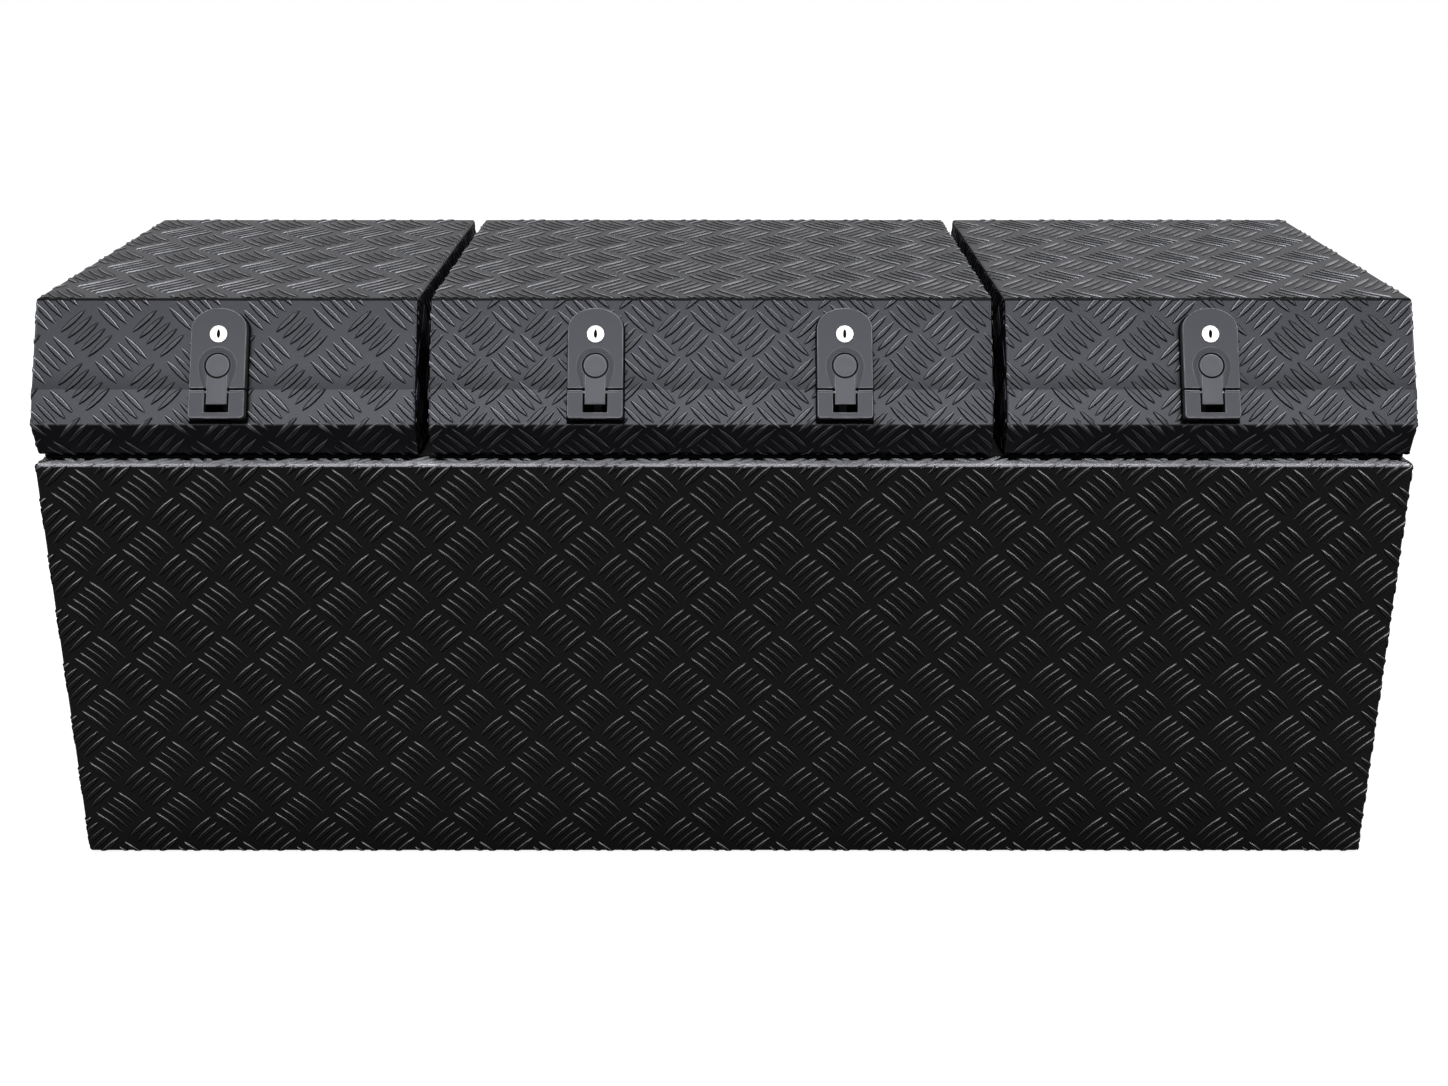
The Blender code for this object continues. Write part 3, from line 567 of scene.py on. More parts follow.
def cut_bars(bars, ends, bar, normal, limit):
    """Shortens the bars where they pass a straight line of the plate.

    The line is where the product of a point and the normal equals the limit. Each of a bar's
    rails meets it at its own share of the length, so that the cut end lies in the line. A bar
    that runs along the line counts as climbing to it by a hair.
    """
    normal = np.broadcast_to(np.array(normal, float), bars["centres"].shape)
    room = limit - np.sum(bars["centres"] * normal, axis=1)
    climb = np.sum(bars["runs"] * normal, axis=1)
    climb = np.where(np.abs(climb) < least_climb, least_climb, climb)
    middle = np.clip(0.5 + room / climb, 0.0, 1.0)
    side = np.sum(bar_across(bars["runs"]) * normal, axis=1)
    rails = bar_rails(bar_half_width(middle, bar), bar)[0]
    share = 0.5 + (room[:, None] - side[:, None] * rails) / climb[:, None]
    rising = climb[:, None] > 0
    ends[..., 1] = np.where(rising, np.minimum(ends[..., 1], share), ends[..., 1])
    ends[..., 0] = np.where(rising, ends[..., 0], np.maximum(ends[..., 0], share))
    return ends


def rectangle_lines(low, high):
    """The four cutting lines of a rectangle between two corners."""
    return [((-1.0, 0.0), -low[0]), ((1.0, 0.0), high[0]), ((0.0, -1.0), -low[1]),
            ((0.0, 1.0), high[1])]


def bar_mesh(bars, place, bar, lines=(), fold=None):
    """The bars as a part of a piece, cut at the given lines and laid on the plate by place.

    Along a bar the half width follows the lens; where it is less than the flank, near the tips,
    the height and the fillet fall off in proportion. Its edges and, on most bars, its crown get a
    painted highlight, and its feet and fillet painted shade. The highlight is strongest at a
    wall's bars' upper ends and upper sides, as if lit from above, and the bars that cross a fold
    are painted pale on that line.
    """
    ends = np.tile(np.array([0.0, 1.0]), (len(bars["centres"]), 8, 1))
    for normal, limit in lines:
        ends = cut_bars(bars, ends, bar, normal, limit)
    keep = np.all(ends[..., 1] - ends[..., 0] > shortest_bar, axis=1)
    ends = ends[keep]
    bars = {key: value[keep] for key, value in bars.items()}
    stations = bar["stations"]
    spread = (1 - np.cos(np.linspace(0.0, math.pi, stations))) / 2
    v = ends[..., 0][:, None, :] + (ends[..., 1] - ends[..., 0])[:, None, :] * spread[:, None]
    rail = np.arange(8)
    offsets, small = bar_rails(bar_half_width(v, bar), bar)
    offset = offsets[..., rail, rail]
    level = np.array([0.0, 0.0, 1.0, 1.0, 1.0, 1.0, 0.0, 0.0])
    foot = np.array([-bar_sink, bar_foot, 0.0, 0.0, 0.0, 0.0, bar_foot, -bar_sink])
    height = -plate_rise + small * (foot + level * plate_rise * bars["heights"][:, None, None])
    across = bar_across(bars["runs"])
    # Painted light across the rails: highlights on the edges and crown, painted shade on the feet
    # and fillets.
    edge, crown, fillet = bar["edge"], bar["crown"], bar["skirt_shade"]
    tone = np.array([fillet, -1.0, edge, crown, crown, edge, -1.0, fillet])
    side = np.repeat([-1.0, 1.0], 4) * np.sign(across[:, 1])[:, None, None]
    # The painted highlight grows toward the upper end and on the upper side, as if lit from above.
    end = upper_end_gain * (1 - v) ** upper_end_fall
    painted_highlight = bars["painted_lights"][:, None, None] * (1 + bar["upper_side"] * side)
    painted_highlight = painted_highlight * (1 - bar["upper_end"] + bar["upper_end"] * end) * (1 + small) / 2
    painted_light = np.where(tone > 0, tone * painted_highlight, tone * small)
    flat = (
        bars["centres"][:, None, None, :]
        + (v[..., None] - 0.5) * bars["runs"][:, None, None, :]
        + offset[..., None] * across[:, None, None, :])
    if fold:
        fold_t, reach, highlighted = fold
        on_fold = np.abs(flat[..., 1] - fold_t) < reach
        painted_light = np.where(on_fold, np.where(tone >= crown, highlighted, 0.0), painted_light)
    points = place(flat[..., 0], flat[..., 1], height)
    faces = [repeated(one, len(ends), stations * 8) for one in capped_faces(stations, 8)]
    return points, faces, painted_light


for number, (wall, across) in enumerate(pattern_across.items()):
    begin, end = tub_plan["starts"][2 * number:2 * number + 2]
    weld = plate_bend * quarter / 2
    rim_flat = rim_widths[number] - plate_bend - support
    slant = rim_flat / (rim_widths[number - 1] - plate_bend)
    low = (begin - weld, wall_low - weld)
    high = (end + weld, rim_start + rim_flat)
    bars = bar_layout(low, high, tub_pitch, (begin + across, pattern_up), tub_run, tub_shift)
    mitres = [((-slant, 1.0), rim_start - slant * begin), ((slant, 1.0), rim_start + slant * end)]
    points, faces, painted_light = bar_mesh(bars, tub_wall, tub_bar, rectangle_lines(low, high) + mitres)
    # The bars over the front rim share its painted highlight.
    if wall == "front":
        painted_light = np.where(points[..., 2] > wall_high + rim_highlight_rise, rim_highlight, painted_light)
    make_piece("tub_bars_" + wall, [(points, faces, painted_light)], tread_coat, "tub", "tread_plate")


def tub_floor(x, y, h):
    """Point of the floor's underside, h out of it and so downwards."""
    return np.stack([x, y, tub_low[2] - h], axis=-1)


bars = bar_layout(base_low, base_high, tub_pitch, base_low, tub_run, tub_shift)
part = bar_mesh(bars, tub_floor, tub_bar, rectangle_lines(base_low, base_high))
make_piece("tub_bars_floor", [part], tread_coat, "tub", "tread_plate")

# Lids: three folded tread plate covers, each with a band that leans in under its lower fold, a
# front panel with a faint crease, a flat top and an upright back. A hem is turned in all round
# at the bottom, and the panel is cut out behind each latch. They are coated like the tub, with
# painted shade on the band, on the bend at the top of the front, above the crease and on the
# bottom, painted highlights on the bars, and a painted bluish sky tint in their reflections.
band_setback = 0.0138
band_height = 0.035
fold_setback = 0.0033
crease_setback = 0.019
crease_height = 0.068
top_setback = 0.065
lid_bends = [0.004, 0.004, 0.008, 0.0045, 0.003, 0.0045]
end_bend = 0.004
hem_width = 0.014
cutout_half = 0.022
cutout_low = -0.0496
cutout_high = 0.044
latch_rise = 0.025
cap_share = 0.985
bar_reach = 0.05
far_off = 9.0
end_inset = 0.0045
end_up = 0.02
# Painted shade on the lid sheet: darkest on the bend at the top of the front, less dark on the
# band under the lower fold; and a painted highlight on the bars that cross the lower fold.
fold_shade_start = -0.01
fold_shade_end = 1.01
band_shade = -0.4
fold_reach = 0.0030
fold_highlight = 0.9
# Painted light on the lid bars: highlights on their edges and crown, painted shade on their
# fillets.
lid_bar = {
    "width": 0.0050, "fullness": 0.80, "stations": 7, "skirt": 0.0008, "skirt_shade": -0.5,
    "edge": 1.6, "crown": 0.10, "upper_end": 0.0, "upper_side": 0.0}
top_bar = {
    "width": 0.0056, "fullness": 0.70, "stations": 7, "skirt": 0.0012, "skirt_shade": -0.5,
    "edge": 3.2, "crown": 1.2, "upper_end": 0.0, "upper_side": 0.0}
# One family of groups on the top is painted dark, with a dark fillet and crown, as painted shade.
top_shaded_bar = dict(top_bar, skirt=0.0023, skirt_shade=-1.0, edge=3.0, crown=-0.7)
lid_run = (0.0245, 0.0240)
lid_shift = (0.0072, -0.0064)
top_run = (0.0310, 0.0420)
top_shift = (0.0072, -0.0078)
top_pitch = 0.0985
lid_patterns = {
    "left": {"pitch": (0.0727, 0.0555), "across": -0.391, "up": 0.031, "top_y": 0.0165},
    "middle": {"pitch": (0.0672, 0.0495), "across": -0.2095, "up": 0.034, "top_y": 0.0132},
    "right": {"pitch": (0.0735, 0.0505), "across": 0.4295, "up": 0.0548, "top_y": 0.0150}}
# Painted shade above the crease: its height, its soft edge at the crease and the shine it leaves.
crease_shade_height = 0.020
crease_shade_edge = 0.0006
crease_shade_shine = 0.62
# A painted bluish sky light, as the tint of the reflections of the lids and the castings.
painted_sky_tint = (0.88, 0.90, 1.0)

lid_low, lid_high = box_corners("lid_middle")
lid_front = tub_low[1]
crease_y = lid_front + crease_setback
crease_z = lid_low[2] + crease_height
lid_corners = [
    (lid_front + band_setback, lid_low[2]), (lid_high[1], lid_low[2]), (lid_high[1], lid_high[2]),
    (lid_front + top_setback, lid_high[2]), (crease_y, crease_z),
    (lid_front + fold_setback, lid_low[2] + band_height)]
lid_section = folded_path(lid_corners, lid_bends)
section_starts = lid_section["starts"]
hem_front = lid_front + band_setback + hem_width - lid_section["points"][0][0]
hem_back = lid_high[1] - hem_width - lid_section["points"][0][0]
crease_t = (section_starts[7] + section_starts[8]) / 2
back_t = (section_starts[3] + section_starts[4]) / 2
fold_t = (section_starts[9] + section_starts[10]) / 2
opening_top = crease_t - latch_rise - cutout_high
opening_foot = crease_t - latch_rise - cutout_low
latch_x = [sum(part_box("latch_housing_%d" % n)[k][0] for k in (0, 1)) / 2 for n in (1, 2, 3, 4)]
lid_latches = {"left": latch_x[:1], "middle": latch_x[1:3], "right": latch_x[3:]}


def lid_place(low_x, high_x):
    """The placing of one lid: s across it, t round its section, h out of the surface.

    Past the flat part an end bend of radius r turns the surface inwards: at angle a the point
    moves along X by (r + h) sin a and out of the section by (r + h) cos a - r.
    """
    def place(s, t, h):
        points, normals = along(lid_section, t)
        flat = np.clip(s, low_x + end_bend, high_x - end_bend)
        turn = np.clip((s - flat) / end_bend, -quarter, quarter)
        x = flat + (end_bend + h) * np.sin(turn)
        out = (end_bend + h) * np.cos(turn) - end_bend
        section = points + normals * out[..., None]
        return np.concatenate([x[..., None], section], axis=-1)
    return place


def lid_sheet(low_x, high_x, latches):
    """Both skins of a lid's sheet over one grid, without the mouth below and the cut-outs, and
    with a strip round every free edge that joins the outer skin to the inner one."""
    place = lid_place(low_x, high_x)
    t = path_stations(lid_section, [hem_front, hem_back, opening_top, opening_foot])
    s = [low_x + end_bend + support, high_x - end_bend - support, low_x + hem_width,
         high_x - hem_width]
    for x in latches:
        s += [x - cutout_half, x + cutout_half]
    bend = np.linspace(0.0, end_bend * quarter, bend_steps + 1)
    s = np.unique(np.round(np.concatenate(
        [s, low_x + end_bend - bend, high_x - end_bend + bend]), 7))
    t_grid, s_grid = np.meshgrid(t, s, indexing="ij")
    skins = []
    for h in (-plate_rise, -plate_thickness):
        skin = place(s_grid, t_grid, h)
        caps = []
        for column in (0, -1):
            ring = skin[:, column]
            middle = ring.mean(axis=0)
            caps.append((middle + (ring - middle) * cap_share)[:, None])
        skins.append(np.concatenate([caps[0], skin, caps[1]], axis=1))
    rows, columns = skins[0].shape[:2]
    faces = grid_faces(rows, columns, closed_rows=True).reshape(rows, columns - 1, 4)
    t_mid = (t + np.append(t[1:], t[0] + section_starts[-1])) / 2
    s_mid = np.concatenate([[low_x - 1], (s[1:] + s[:-1]) / 2, [high_x + 1]])
    inside_s = (s_mid > low_x + hem_width) & (s_mid < high_x - hem_width)
    gone = ((t_mid > hem_front) & (t_mid < hem_back))[:, None] & inside_s[None, :]
    for x in latches:
        span = (t_mid > opening_top) & (t_mid < opening_foot)
        gone |= span[:, None] & (np.abs(s_mid - x) < cutout_half)[None, :]
    faces = faces[~gone]
    count = rows * columns
    edges = np.stack([faces, np.roll(faces, -1, axis=1)], axis=-1).reshape(-1, 2)
    where, times = np.unique(
        np.sort(edges, axis=1), axis=0, return_index=True, return_counts=True)[1:]
    free = edges[where[times == 1]]
    cap_edge = np.all(free % columns == 0, axis=1) | np.all(free % columns == columns - 1, axis=1)
    free = free[~cap_edge]
    strip = np.stack([free[:, 1], free[:, 0], free[:, 0] + count, free[:, 1] + count], axis=-1)
    left_cap = np.arange(rows) * columns
    right_cap = left_cap + columns - 1
    caps = np.array([left_cap, right_cap[::-1], left_cap[::-1] + count, right_cap + count])
    # Painted shade: the bend at the top of the front and the bottom with its bend darkest, the
    # band under the lower fold less dark.
    fold = (t - section_starts[5]) / (section_starts[6] - section_starts[5])
    tone = np.where((fold > fold_shade_start) & (fold < fold_shade_end), -1.0, 0.0)
    tone = np.where(t > section_starts[10] - support / 10, band_shade, tone)
    tone = np.where((t > section_starts[11] - support / 10) | (t < section_starts[1]), -1.0, tone)
    painted_light = tone[:, None] * np.ones(columns)
    return np.concatenate(skins), [faces, faces[:, ::-1] + count, strip, caps], [painted_light, painted_light]


def opening_line(centres, x):
    """For each bar, the side of a latch's opening that lies nearest to it, as a cutting line."""
    centre = np.array([x, (opening_top + opening_foot) / 2])
    half = np.array([cutout_half, (opening_foot - opening_top) / 2])
    away = centres - centre
    side = np.argmax(np.abs(away) - half, axis=1)
    index = np.arange(len(centres))
    sign = np.sign(away[index, side])
    normal = np.zeros(centres.shape)
    normal[index, side] = -sign
    limit = -sign * centre[side] - half[side]
    near = np.all(np.abs(away) < half + bar_reach, axis=1)
    return normal, np.where(near, limit, far_off)


def lid_bars(low_x, high_x, latches, pattern):
    """The bars of a lid as parts: on its front from the fold at the top round to the hem, on its
    flat top, whose rows are further apart, and on its back."""
    place = lid_place(low_x, high_x)
    weld = end_bend * quarter / 2
    pitch = pattern["pitch"]
    top_phase = section_starts[4] + lid_section["points"][4][0] - pattern["top_y"]
    areas = [
        (section_starts[6], section_starts[-1] + hem_front - support, pitch,
         crease_t - pattern["up"], lid_run, lid_shift, lid_bar, lid_bar),
        # On the top, one family of groups gets the painted shade of the darker bars.
        (section_starts[4], section_starts[5], (pitch[0], top_pitch), top_phase, top_run,
         top_shift, top_shaded_bar, top_bar),
        (section_starts[1], section_starts[3], pitch, back_t, lid_run, lid_shift, lid_bar,
         lid_bar)]
    parts = []
    for start, end, spacing, phase, run, shift, left_bar, right_bar in areas:
        bars = bar_layout(
            (low_x - end_bend, start), (high_x + end_bend, end), spacing,
            (pattern["across"], phase), run, shift)
        sides = rectangle_lines(
            (low_x + end_bend - weld, start), (high_x - end_bend + weld, end))
        for lean, bar in ((1.0, left_bar), (-1.0, right_bar)):
            some = {key: value[bars["leans"] == lean] for key, value in bars.items()}
            lines = sides + [opening_line(some["centres"], x) for x in latches]
            parts.append(bar_mesh(some, place, bar, lines, (fold_t, fold_reach, fold_highlight)))
    return parts


def lid_end_bars(x, way):
    """The bars on a lid's flat end, which faces along X, cut at the end's outline and straight
    across its two rounder corners."""
    def place(y, z, h):
        return np.stack([np.full(y.shape, x) + way * h, y, z], axis=-1)

    corners = np.array(lid_corners)
    sides = np.roll(corners, -1, axis=0) - corners
    normals = np.stack([sides[:, 1], -sides[:, 0]], axis=-1)
    normals /= np.linalg.norm(normals, axis=1)[:, None]
    lines = [(n, n @ corner - end_inset) for n, corner in zip(normals, corners)]
    for corner in (2, 3):
        slanted = normals[corner - 1] + normals[corner]
        slanted /= np.linalg.norm(slanted)
        bend_t = (section_starts[2 * corner - 1] + section_starts[2 * corner]) / 2
        lines.append((slanted, slanted @ along(lid_section, bend_t)[0] - end_inset))
    low, high = corners.min(axis=0), corners.max(axis=0)
    bars = bar_layout(low, high, tub_pitch, (low[0], low[1] + end_up), tub_run, tub_shift)
    return bar_mesh(bars, place, lid_bar, lines)


def add_crease_shade(material):
    """A painted shade on the band above the crease: the shine is dimmed in a ramp over the height
    of the front panel, from nothing to full at the crease, where it ends."""
    tree = material.node_tree
    parts = tree.nodes.new("ShaderNodeSeparateXYZ")
    feed(tree, parts.inputs[0], place_on(tree))
    above = ramp(
        tree, parts.outputs["Z"], crease_z + crease_shade_height, crease_z + crease_shade_edge, 0.0, 1.0)
    below = ramp(tree, parts.outputs["Z"], crease_z - crease_shade_edge, crease_z + crease_shade_edge, 0.0, 1.0)
    front = ramp(
        tree, parts.outputs["Y"], lid_front + top_setback, crease_y + crease_shade_height, 0.0, 1.0)
    crease_shade_share = maths(tree, "MULTIPLY", maths(tree, "MULTIPLY", above, below), front)
    dimmed = maths(
        tree, "MULTIPLY", tree.nodes["shine"].outputs["Result"],
        ramp(tree, crease_shade_share, 0.0, 1.0, 1.0, crease_shade_shine))
    feed(tree, tree.nodes["Principled BSDF"].inputs["Specular IOR Level"], dimmed)


lid_coat = coat(
    "lid_coat", (0.0030, 0.0030, 0.0042), roughness=0.33, grain=0.00003, mottle=0.20,
    tint=painted_sky_tint)
add_crease_shade(lid_coat)
for side, latches in lid_latches.items():
    low_x, high_x = [corner[0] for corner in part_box("lid_" + side)]
    parts = [lid_sheet(low_x, high_x, latches)]
    parts += lid_bars(low_x, high_x, latches, lid_patterns[side])
    parts += [lid_end_bars(low_x, -1.0), lid_end_bars(high_x, 1.0)]
    make_piece(
        "lid_plate_" + side, parts, lid_coat, side + "_lid", "tread_plate", "lid_" + side)

# Dividers: two painted sheet webs from the floor to the rim, each under a flange that carries
# the seals of both lids beside it. They are plain sheet, powder coated like the tub.
plain_coat = coat(
    "plain_coat", (0.0075, 0.0075, 0.0085), roughness=0.46, grain=0.00006, mottle=0.15,
    shine=full_shine)


def refinish(node, finish):
    """Gives a carried-over CAD node its material."""
    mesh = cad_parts[node].data
    mesh.materials.clear()
    mesh.materials.append(finish)


for side in ("left", "right"):
    refinish("divider_" + side, plain_coat)

# Seals: a ring of soft black rubber on the rim under each lid's hem, with a half-round back
# that the hem presses on. It is one moulded length, joined at the back.
seal_half = 0.004
seal_round = 0.010
seal_steps = 12
seal_fullness = 0.7
rubber = coat(
    "seal_rubber", (0.0008, 0.0008, 0.0008), roughness=0.80, grain=0.00005, mottle=0.25,
    shine=low_shine)


def seal_ring(low, high):
    """A ring with a domed section: a full arch above a flat foot, carried round a rounded
    rectangle. Its points are the path plus the normal times cos a, and up by a power of sin a."""
    middle = rounded_rectangle(low + seal_half, high - seal_half, seal_round)
    u = path_stations(middle)
    points, normals = along(middle, u)
    angle = np.linspace(0.0, math.pi, seal_steps + 1)
    out = seal_half * np.cos(angle)
    up = low[2] + (high[2] - low[2]) * np.sin(angle) ** seal_fullness
    flat = points[:, None, :] + normals[:, None, :] * out[None, :, None]
    grid = np.concatenate([flat, np.broadcast_to(up, flat.shape[:2])[..., None]], axis=-1)
    return grid, [grid_faces(len(u), seal_steps + 1, closed_rows=True, closed_columns=True)], 0.0


for side in lid_latches:
    part = seal_ring(*box_corners("seal_" + side))
    make_piece("seal_ring_" + side, [part], rubber, "tub", "rubber", "seal_" + side)

# Hinges: a long piano hinge of coated steel along the back of each lid, two leaves with rolled
# knuckles on one pin, held to the tub and the lid by rows of dome-headed rivets.
rivet_radius = 0.0032
rivet_height = 0.0012
rivet_sides = 16
rivet_rings = 5
rivet_spacing = 0.052
rivet_inset = 0.0135
leaf_face = 0.0021
brush_scale = (60.0, 900.0, 900.0)
brush_spread = 0.08


def bare_metal(name, colour, roughness, brushing):
    """Metal with fine brushed streaks along X in its roughness and a little in its colour."""
    material, tree, shader = new_material(name)
    shader.inputs["Metallic"].default_value = 1.0
    stretch = tree.nodes.new("ShaderNodeMapping")
    stretch.inputs["Scale"].default_value = brush_scale
    feed(tree, stretch.inputs["Vector"], place_on(tree))
    streaks = noise(tree, stretch.outputs["Vector"], 1.0, 3.0)
    feed(tree, shader.inputs["Base Color"], mottled(tree, streaks, colour, brushing))
    feed(tree, shader.inputs["Roughness"], ramp(
        tree, streaks, 0.0, 1.0, roughness - brush_spread, roughness + brush_spread))
    return material


hinge_steel = bare_metal("hinge_steel", (0.080, 0.080, 0.085), roughness=0.42, brushing=0.10)
zinc_steel = bare_metal("zinc_steel", (0.45, 0.45, 0.47), roughness=0.36, brushing=0.08)


def rivet_heads(centres):
    """Rivet heads on points of a surface that faces back: half ellipsoids, whose radius is
    r cos b and whose height is h sin b as b goes from 0 to a quarter turn."""
    b = np.linspace(0.0, quarter, rivet_rings)[:, None]
    a = np.arange(rivet_sides) * math.tau / rivet_sides
    ring = rivet_radius * np.cos(b)
    out = np.broadcast_to(rivet_height * np.sin(b), (rivet_rings, rivet_sides))
    shape = np.stack([ring * np.cos(a), out, ring * np.sin(a)], axis=-1)
    faces = [
        repeated(grid_faces(rivet_rings, rivet_sides, closed_columns=True), len(centres),
                 rivet_rings * rivet_sides),
        repeated(np.arange(rivet_sides)[None, ::-1], len(centres), rivet_rings * rivet_sides)]
    return centres[:, None, None, :] + shape, faces, 0.0


for side in lid_latches:
    for leaf, way, body in (("lid", 1.0, side + "_lid"), ("tub", -1.0, "tub")):
        node = "hinge_%s_leaf_%s" % (leaf, side)
        refinish(node, hinge_steel)
        low, high = box_corners(node)
        count = int((high[0] - low[0]) / rivet_spacing)
        x = (low[0] + high[0]) / 2 + (np.arange(count) - (count - 1) / 2) * rivet_spacing
        level = (high[2] if way > 0 else low[2]) - way * rivet_inset
        centres = np.stack(
            [x, np.full(count, lid_high[1] + leaf_face), np.full(count, level)], axis=-1)
        make_piece(
            "hinge_rivets_%s_%s" % (leaf, side), [rivet_heads(centres)], hinge_steel, body,
            "hinge_steel")
    refinish("hinge_pin_" + side, zinc_steel)

# Latches: four push latches of die-cast alloy, satin black, each with a lever that a push of the
# round button lets out, a key cylinder of plated brass above, and a hook behind the panel. A
# rubber gasket lies between the casting and the lid, and its black rim reaches past the latch as
# a painted shadow. The castings' edges carry painted highlights, the key slot and the groove
# round the button are painted black as painted shade, and the castings' reflections have a
# painted bluish sky tint.
latch_half = 0.028
latch_foot = -0.057
latch_tip = 0.057
latch_face = 0.011
dome_height = 0.0215
arch_steps = 24
split_y = -0.0261
finger_half = 0.01215
finger_low = -0.0505
lever_top = -0.030
lever_corner = 0.003
lever_inset = 0.0013
edge_inset = 0.0008
bead_half = 0.00045
bead_rise = 0.00010
bead_steps = 6
tab_half = 0.0105
tab_low = -0.0427
tab_reach = 0.0136
tab_crown = 0.0002
tab_steps = 13
tab_rows = np.array([0.0, 0.0, 0.33, 0.67, 1.0, 1.0])
tab_crowned = np.array([False, True, True, True, True, False])
round_steps = 48
button_y = -0.0026
# The button's rim carries a painted highlight: the third number of each ring.
button_profile = [
    (0.0001, -0.0008, 0.0), (0.0114, -0.0008, 0.0), (0.0114, 0.0, 0.3), (0.0110, 0.00018, 0.9),
    (0.0104, 0.00010, 0.0), (0.0060, 0.00024, 0.0), (0.0001, 0.00030, 0.0)]
# A black ring down in the groove round the button, as painted shade for the groove.
groove_profile = [
    (0.0123, -0.003, 0.0), (0.0133, -0.003, 0.0), (0.0133, -0.0006, 0.0), (0.0123, -0.0006, 0.0)]
collar_outer = 0.0195
collar_inner = 0.0139
collar_tab_half = 0.0112
collar_foot_half = 0.0128
collar_drop = 0.0228
collar_mouth = 0.02
collar_steps = 64
# The collar's edges carry painted highlights: the third number of each ring.
collar_profile = np.array([
    (0.0, -0.0004, 0.0), (0.0, 0.0, 0.6), (0.18, 0.00022, 0.0), (0.82, 0.00022, 0.0),
    (1.0, 0.0, 0.3), (1.0, -0.0004, 0.0)])
cylinder_y = 0.0298
cylinder_face = 0.0116
key_slot_half = 0.0017
key_slot_height = 0.0090
key_slot_middle = 0.48
key_slot_depth = 0.0002
key_slot_rise = 0.00006
key_slot_steps = 24
drop_scale = 2.13
drop_taper = 0.6
# The gasket's black rim reaches past the latch by the margin and below its foot by the drop, as a
# painted shadow round it.
gasket_margin = 0.0012
gasket_drop = 0.0026
gasket_half = 0.0226
gasket_low = -0.0515
gasket_tip = 0.0455
gasket_dome = 0.0086
gasket_thickness = 0.0009
latch_lids = ["left", "middle", "middle", "right"]

panel_up = np.array([0.0, top_setback - crease_setback, lid_high[2] - crease_z])
panel_up /= np.linalg.norm(panel_up)
panel_out = np.array([0.0, -panel_up[2], panel_up[1]])
latch_middle = np.array([0.0, crease_y, crease_z]) + latch_rise * panel_up

# The second casting colour is paler, for the faces of the tab and the button.
casting, paler_casting, casting_dull = [
    coat(name, colour, roughness, grain=0.00002, mottle=0.06, tint=painted_sky_tint, shine=full_shine)
    for name, colour, roughness in (
        ("latch_casting", (0.0120, 0.0120, 0.0140), 0.36),
        ("latch_paler", (0.0350, 0.0350, 0.0390), 0.34),
        ("latch_collar", (0.0070, 0.0070, 0.0080), 0.50))]
plated = bare_metal("plated_brass", (0.52, 0.52, 0.53), roughness=0.28, brushing=0.02)
# Black for the key slot, painted shade for the open keyway.
key_slot_black = coat(
    "key_slot", (0.0008, 0.0008, 0.0008), roughness=0.60, grain=0.00001, mottle=0.10,
    shine=low_shine)


def on_panel(x, flat_x, flat_y, height):
    """Points of a latch's own frame, x across, y up the panel and height out of it."""
    flat_x, flat_y, height = np.broadcast_arrays(x + flat_x, flat_y, height)
    return (
        latch_middle + flat_x[..., None] * np.array([1.0, 0.0, 0.0])
        + flat_y[..., None] * panel_up + height[..., None] * panel_out)


def arch_outline(half, base, tip, dome):
    """Corners of straight sides under a half ellipse, anticlockwise from the lower left."""
    angle = np.linspace(0.0, math.pi, arch_steps + 1)
    arch = np.stack([half * np.cos(angle), tip - dome + dome * np.sin(angle)], axis=-1)
    return np.concatenate([[(-half, base), (half, base)], arch])


def outline_normals(outline, closed):
    """Unit normals of an outline, each halfway between those of its two sides."""
    ahead = np.roll(outline, -1, axis=0) - outline
    if not closed:
        ahead[-1] = ahead[-2]
    ahead /= np.linalg.norm(ahead, axis=1)[:, None]
    behind = np.roll(ahead, 1, axis=0)
    if not closed:
        behind[0] = ahead[0]
    both = ahead + behind
    both /= np.linalg.norm(both, axis=1)[:, None]
    return np.stack([both[:, 1], -both[:, 0]], axis=-1)


def bead(x, outline, closed=False):
    """A low round bead along an outline on the casting's face: across it, its points lie at
    half cos a and up by rise sin a, and its crown carries a painted highlight."""
    angle = np.linspace(0.0, math.pi, bead_steps + 1)
    out = bead_half * np.cos(angle)
    normals = outline_normals(outline, closed)
    flat = outline[:, None, :] + normals[:, None, :] * out[None, :, None]
    points = on_panel(x, flat[..., 0], flat[..., 1], latch_face + bead_rise * np.sin(angle))
    rows, columns = flat.shape[:2]
    faces = capped_faces(rows, columns)
    if closed:
        faces = [grid_faces(rows, columns, closed_rows=True, closed_columns=True)]
    return points, faces, np.broadcast_to(np.sin(angle), (rows, columns))


def tab_face(x):
    """The face of the tab below the button, slightly crowned: its height rises by 1 - u^2 over
    the width, and its upper end follows the groove round the button."""
    u = np.linspace(-1.0, 1.0, tab_steps)[:, None]
    flat_x = (tab_half - 2 * edge_inset) * u
    top = button_y - np.sqrt(tab_reach ** 2 - flat_x ** 2)
    low = tab_low + 2 * edge_inset
    crown = tab_crown * (1 - u ** 2)
    level = np.where(tab_crowned, crown, -tab_crown)
    points = on_panel(x, flat_x, low + (top - low) * tab_rows, latch_face + level)
    return points, capped_faces(tab_steps, len(tab_rows)), 0.0


